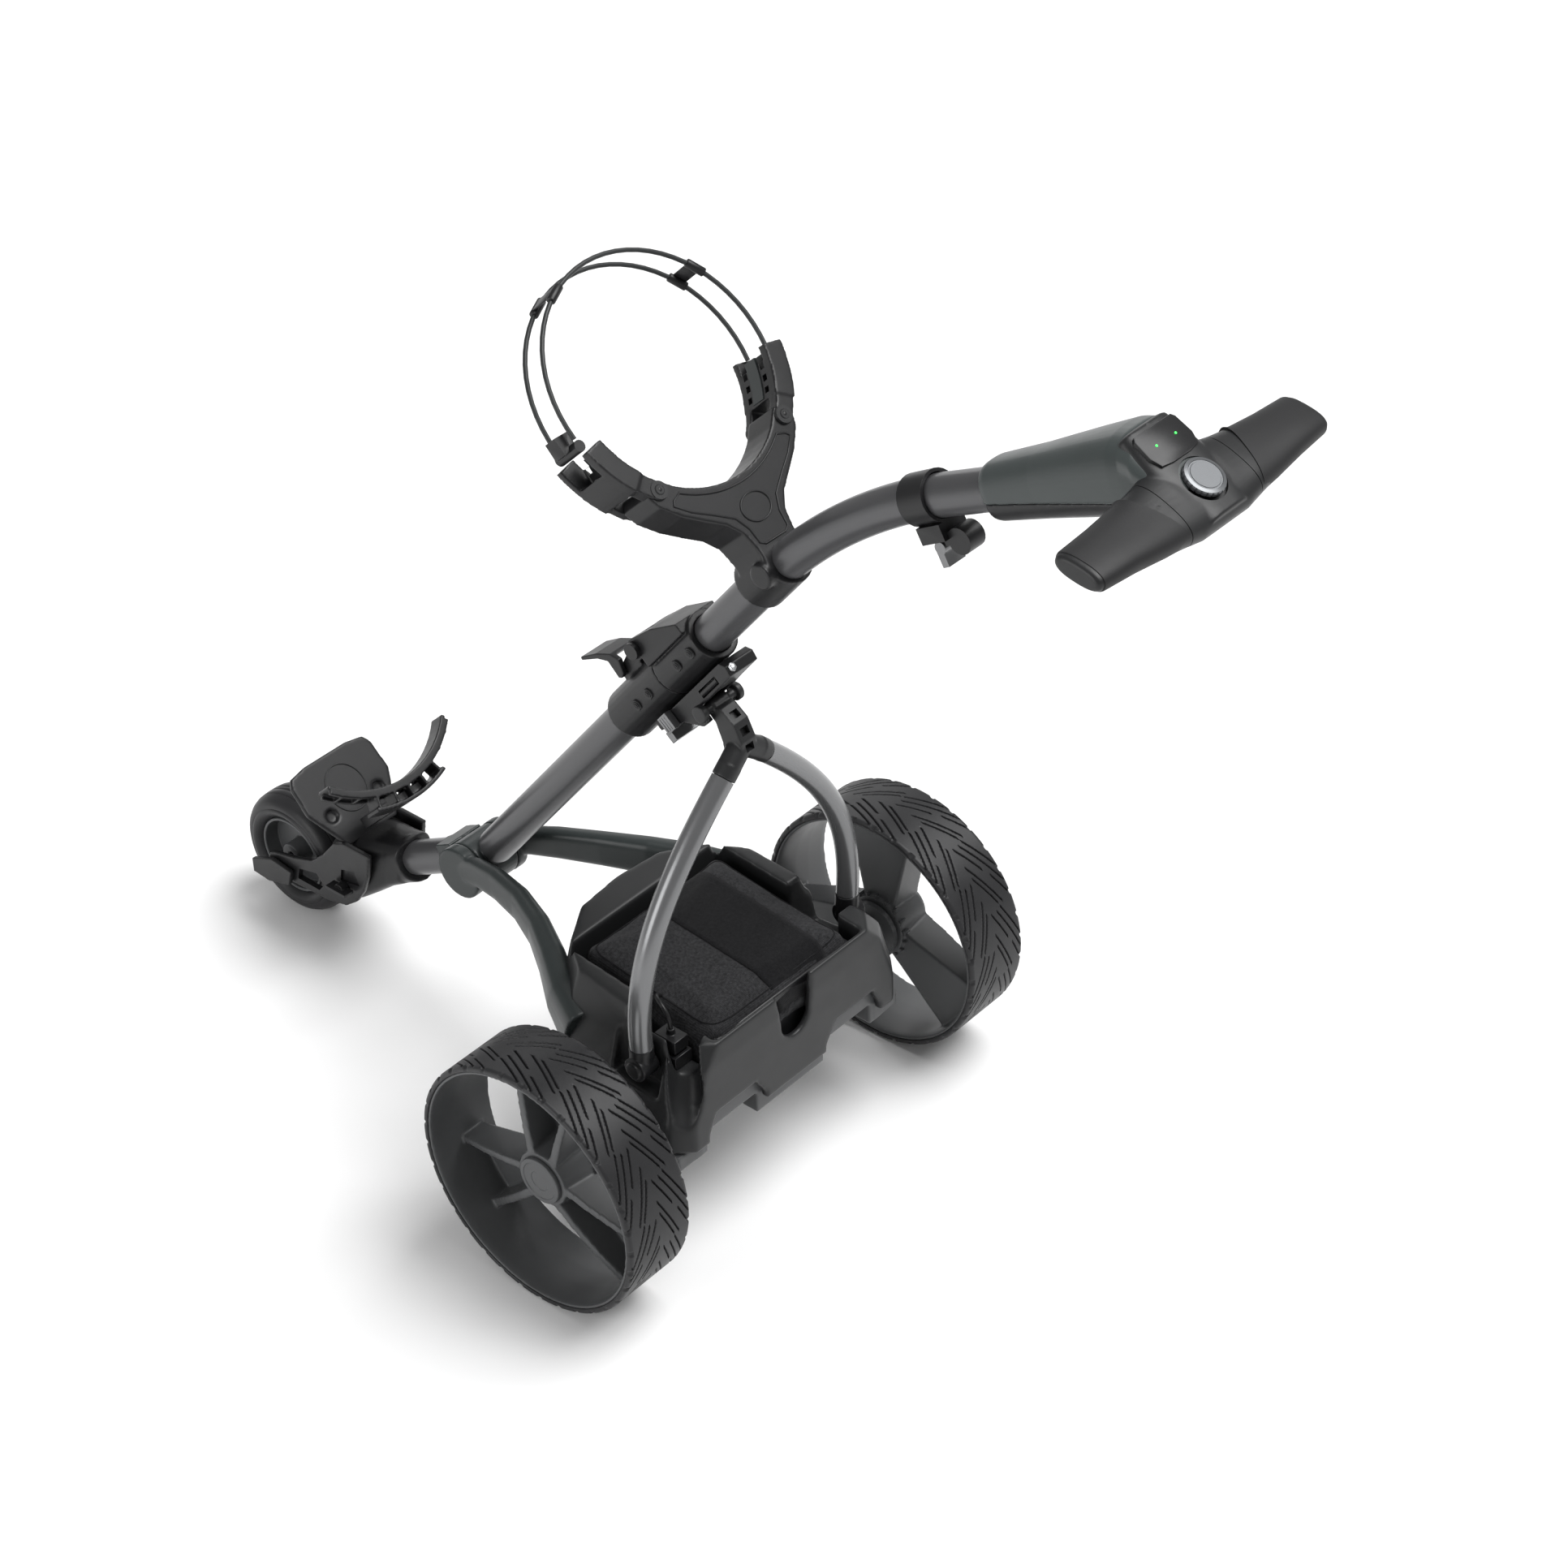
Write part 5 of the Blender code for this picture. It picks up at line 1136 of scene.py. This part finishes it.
# %% Battery bag
def bag_top(y):
    return 0.2606 - 0.1054 * (y + 0.1075)


bag_mesh = bmesh.new()
corners = []
for y, spare in ((-0.1035, 0.0), (0.0730, 0.0)):
    for x, top in ((-0.1005, 0), (0.1005, 0), (0.1005, 1), (-0.1005, 1)):
        corners.append(bag_mesh.verts.new((x, y, bag_top(y) if top else 0.172)))
for ids in ((0, 1, 2, 3), (7, 6, 5, 4), (0, 4, 5, 1), (1, 5, 6, 2), (2, 6, 7, 3), (3, 7, 4, 0)):
    bag_mesh.faces.new([corners[i] for i in ids])
bmesh.ops.recalc_face_normals(bag_mesh, faces=bag_mesh.faces)
bmesh.ops.bevel(
    bag_mesh, geom=bag_mesh.edges[:], offset=0.011, segments=3, profile=0.5, affect="EDGES", material=-1
)
bmesh.ops.transform(bag_mesh, matrix=Matrix.Translation((0, REAR_AXLE_Y, 0)), verts=bag_mesh.verts)
bag = made("battery_bag_cloth", bag_mesh, NYLON, angle=180)
sample = bag.modifiers.new("Sample", "REMESH")
sample.mode = "VOXEL"
sample.voxel_size = 0.005
settle(bag)
start_shape = [v.co.copy() for v in bag.data.vertices]
SWELL = 0.0035
cloth = bag.modifiers.new("Cloth", "CLOTH")
cloth.settings.use_pressure = True
cloth.settings.uniform_pressure_force = 4
cloth.settings.effector_weights.gravity = 0
scene = bpy.context.scene
for number in range(1, 21):
    scene.frame_set(number)
    bag.evaluated_get(bpy.context.evaluated_depsgraph_get())
settle(bag)
scene.frame_set(1)
for vert, was in zip(bag.data.vertices, start_shape):
    moved = vert.co - was
    if moved.length > SWELL:
        moved = moved.normalized() * SWELL
    crease = noise.noise(was * 45) * 0.0011 + noise.noise(was * 140) * 0.0003
    vert.co = was + moved + vert.normal * crease
finer = bag.modifiers.new("Finer", "SUBSURF")
finer.levels = finer.render_levels = 1
settle(bag)
bag.data.shade_smooth()
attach(bag, "chassis")
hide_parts("battery_bag")
bag_skin = BVHTree.FromObject(bag, bpy.context.evaluated_depsgraph_get())


def on_bag(x, y, lift):
    """The spot above the bag at a place, lifted off the cloth."""
    start = Vector((x, y + REAR_AXLE_Y, 0.32))
    hit = bag_skin.ray_cast(start, Vector((0, 0, -1)))[0]
    return Vector((start.x, start.y, hit.z + lift))


seam_line = []
for x, y in oval(0.0925, 0.0800, 16.0, 120):
    seam_line.append(on_bag(x, y - 0.0155, 0.0001))
bead("bag_seam", seam_line, 0.0008, WEBBING, "chassis")

STRAP_LEFT, STRAP_RIGHT = -0.066, 0.012
columns, rows = 14, 40
band = bmesh.new()
grid = []
for row in range(rows + 1):
    y = -0.1000 + 0.1700 * row / rows
    across = [STRAP_LEFT + (STRAP_RIGHT - STRAP_LEFT) * c / columns for c in range(columns + 1)]
    grid.append([band.verts.new(on_bag(x, y, 0.0011)) for x in across])
for tail, y in ((-1, 0.0765), (0, -0.1070)):
    edge = [v.co.copy() for v in grid[tail]]
    ends = [band.verts.new((p.x, y + REAR_AXLE_Y, p.z - 0.014)) for p in edge]
    if tail:
        grid.append(ends)
    else:
        grid.insert(0, ends)
for low, high in zip(grid, grid[1:]):
    for c in range(columns):
        band.faces.new((low[c], low[c + 1], high[c + 1], high[c]))
bmesh.ops.recalc_face_normals(band, faces=band.faces)
strap = made("battery_strap_band", band, WEBBING, "chassis", "fabric", ("battery_strap",), 60)
thick = strap.modifiers.new("Thick", "SOLIDIFY")
thick.thickness = 0.0014
thick.offset = -1

# %% [markdown]
# The release tab has a ribbed thumb pad on its side.

# %% Release tab pad
pad = bmesh.new()
block(pad, COLLAR @ Matrix.Translation((0.0240, -0.0050, -0.0350)), (0.0080, 0.0150, 0.0180))
for along in (-0.0100, -0.0060, -0.0020):
    block(pad, COLLAR @ Matrix.Translation((0.0281, along, -0.0350)), (0.0008, 0.0018, 0.0150))
soften(pad, 0.0010)
made("release_tab_pad", pad, SILVER, "tab", "silver_grey")

# %% [markdown]
# Small fastenings: two screws in each of the hinge's collars.

# %% Fastenings
for body, label, places in (
    ("handle", "upper", (0.0877, 0.0607)),
    ("lower_frame", "lower", (-0.0013, -0.0265)),
):
    heads = bmesh.new()
    for along in places:
        turned = Matrix.Rotation(math.radians(5), 4, "Y") @ Matrix.Translation((0.0265, along, 0))
        spot = COLLAR @ turned @ Matrix.Rotation(math.radians(90), 4, "Y")
        disc(heads, spot, 0.0060, 0.0012, 32, 0.0054)
        disc(heads, spot @ Matrix.Translation((0, 0, 0.0010)), 0.0040, 0.0008, 32)
        screw(heads, spot @ Matrix.Translation((0, 0, 0.0016)), 0.0030)
    made("collar_screws_" + label, heads, PLASTIC, body, "dark_plastic")
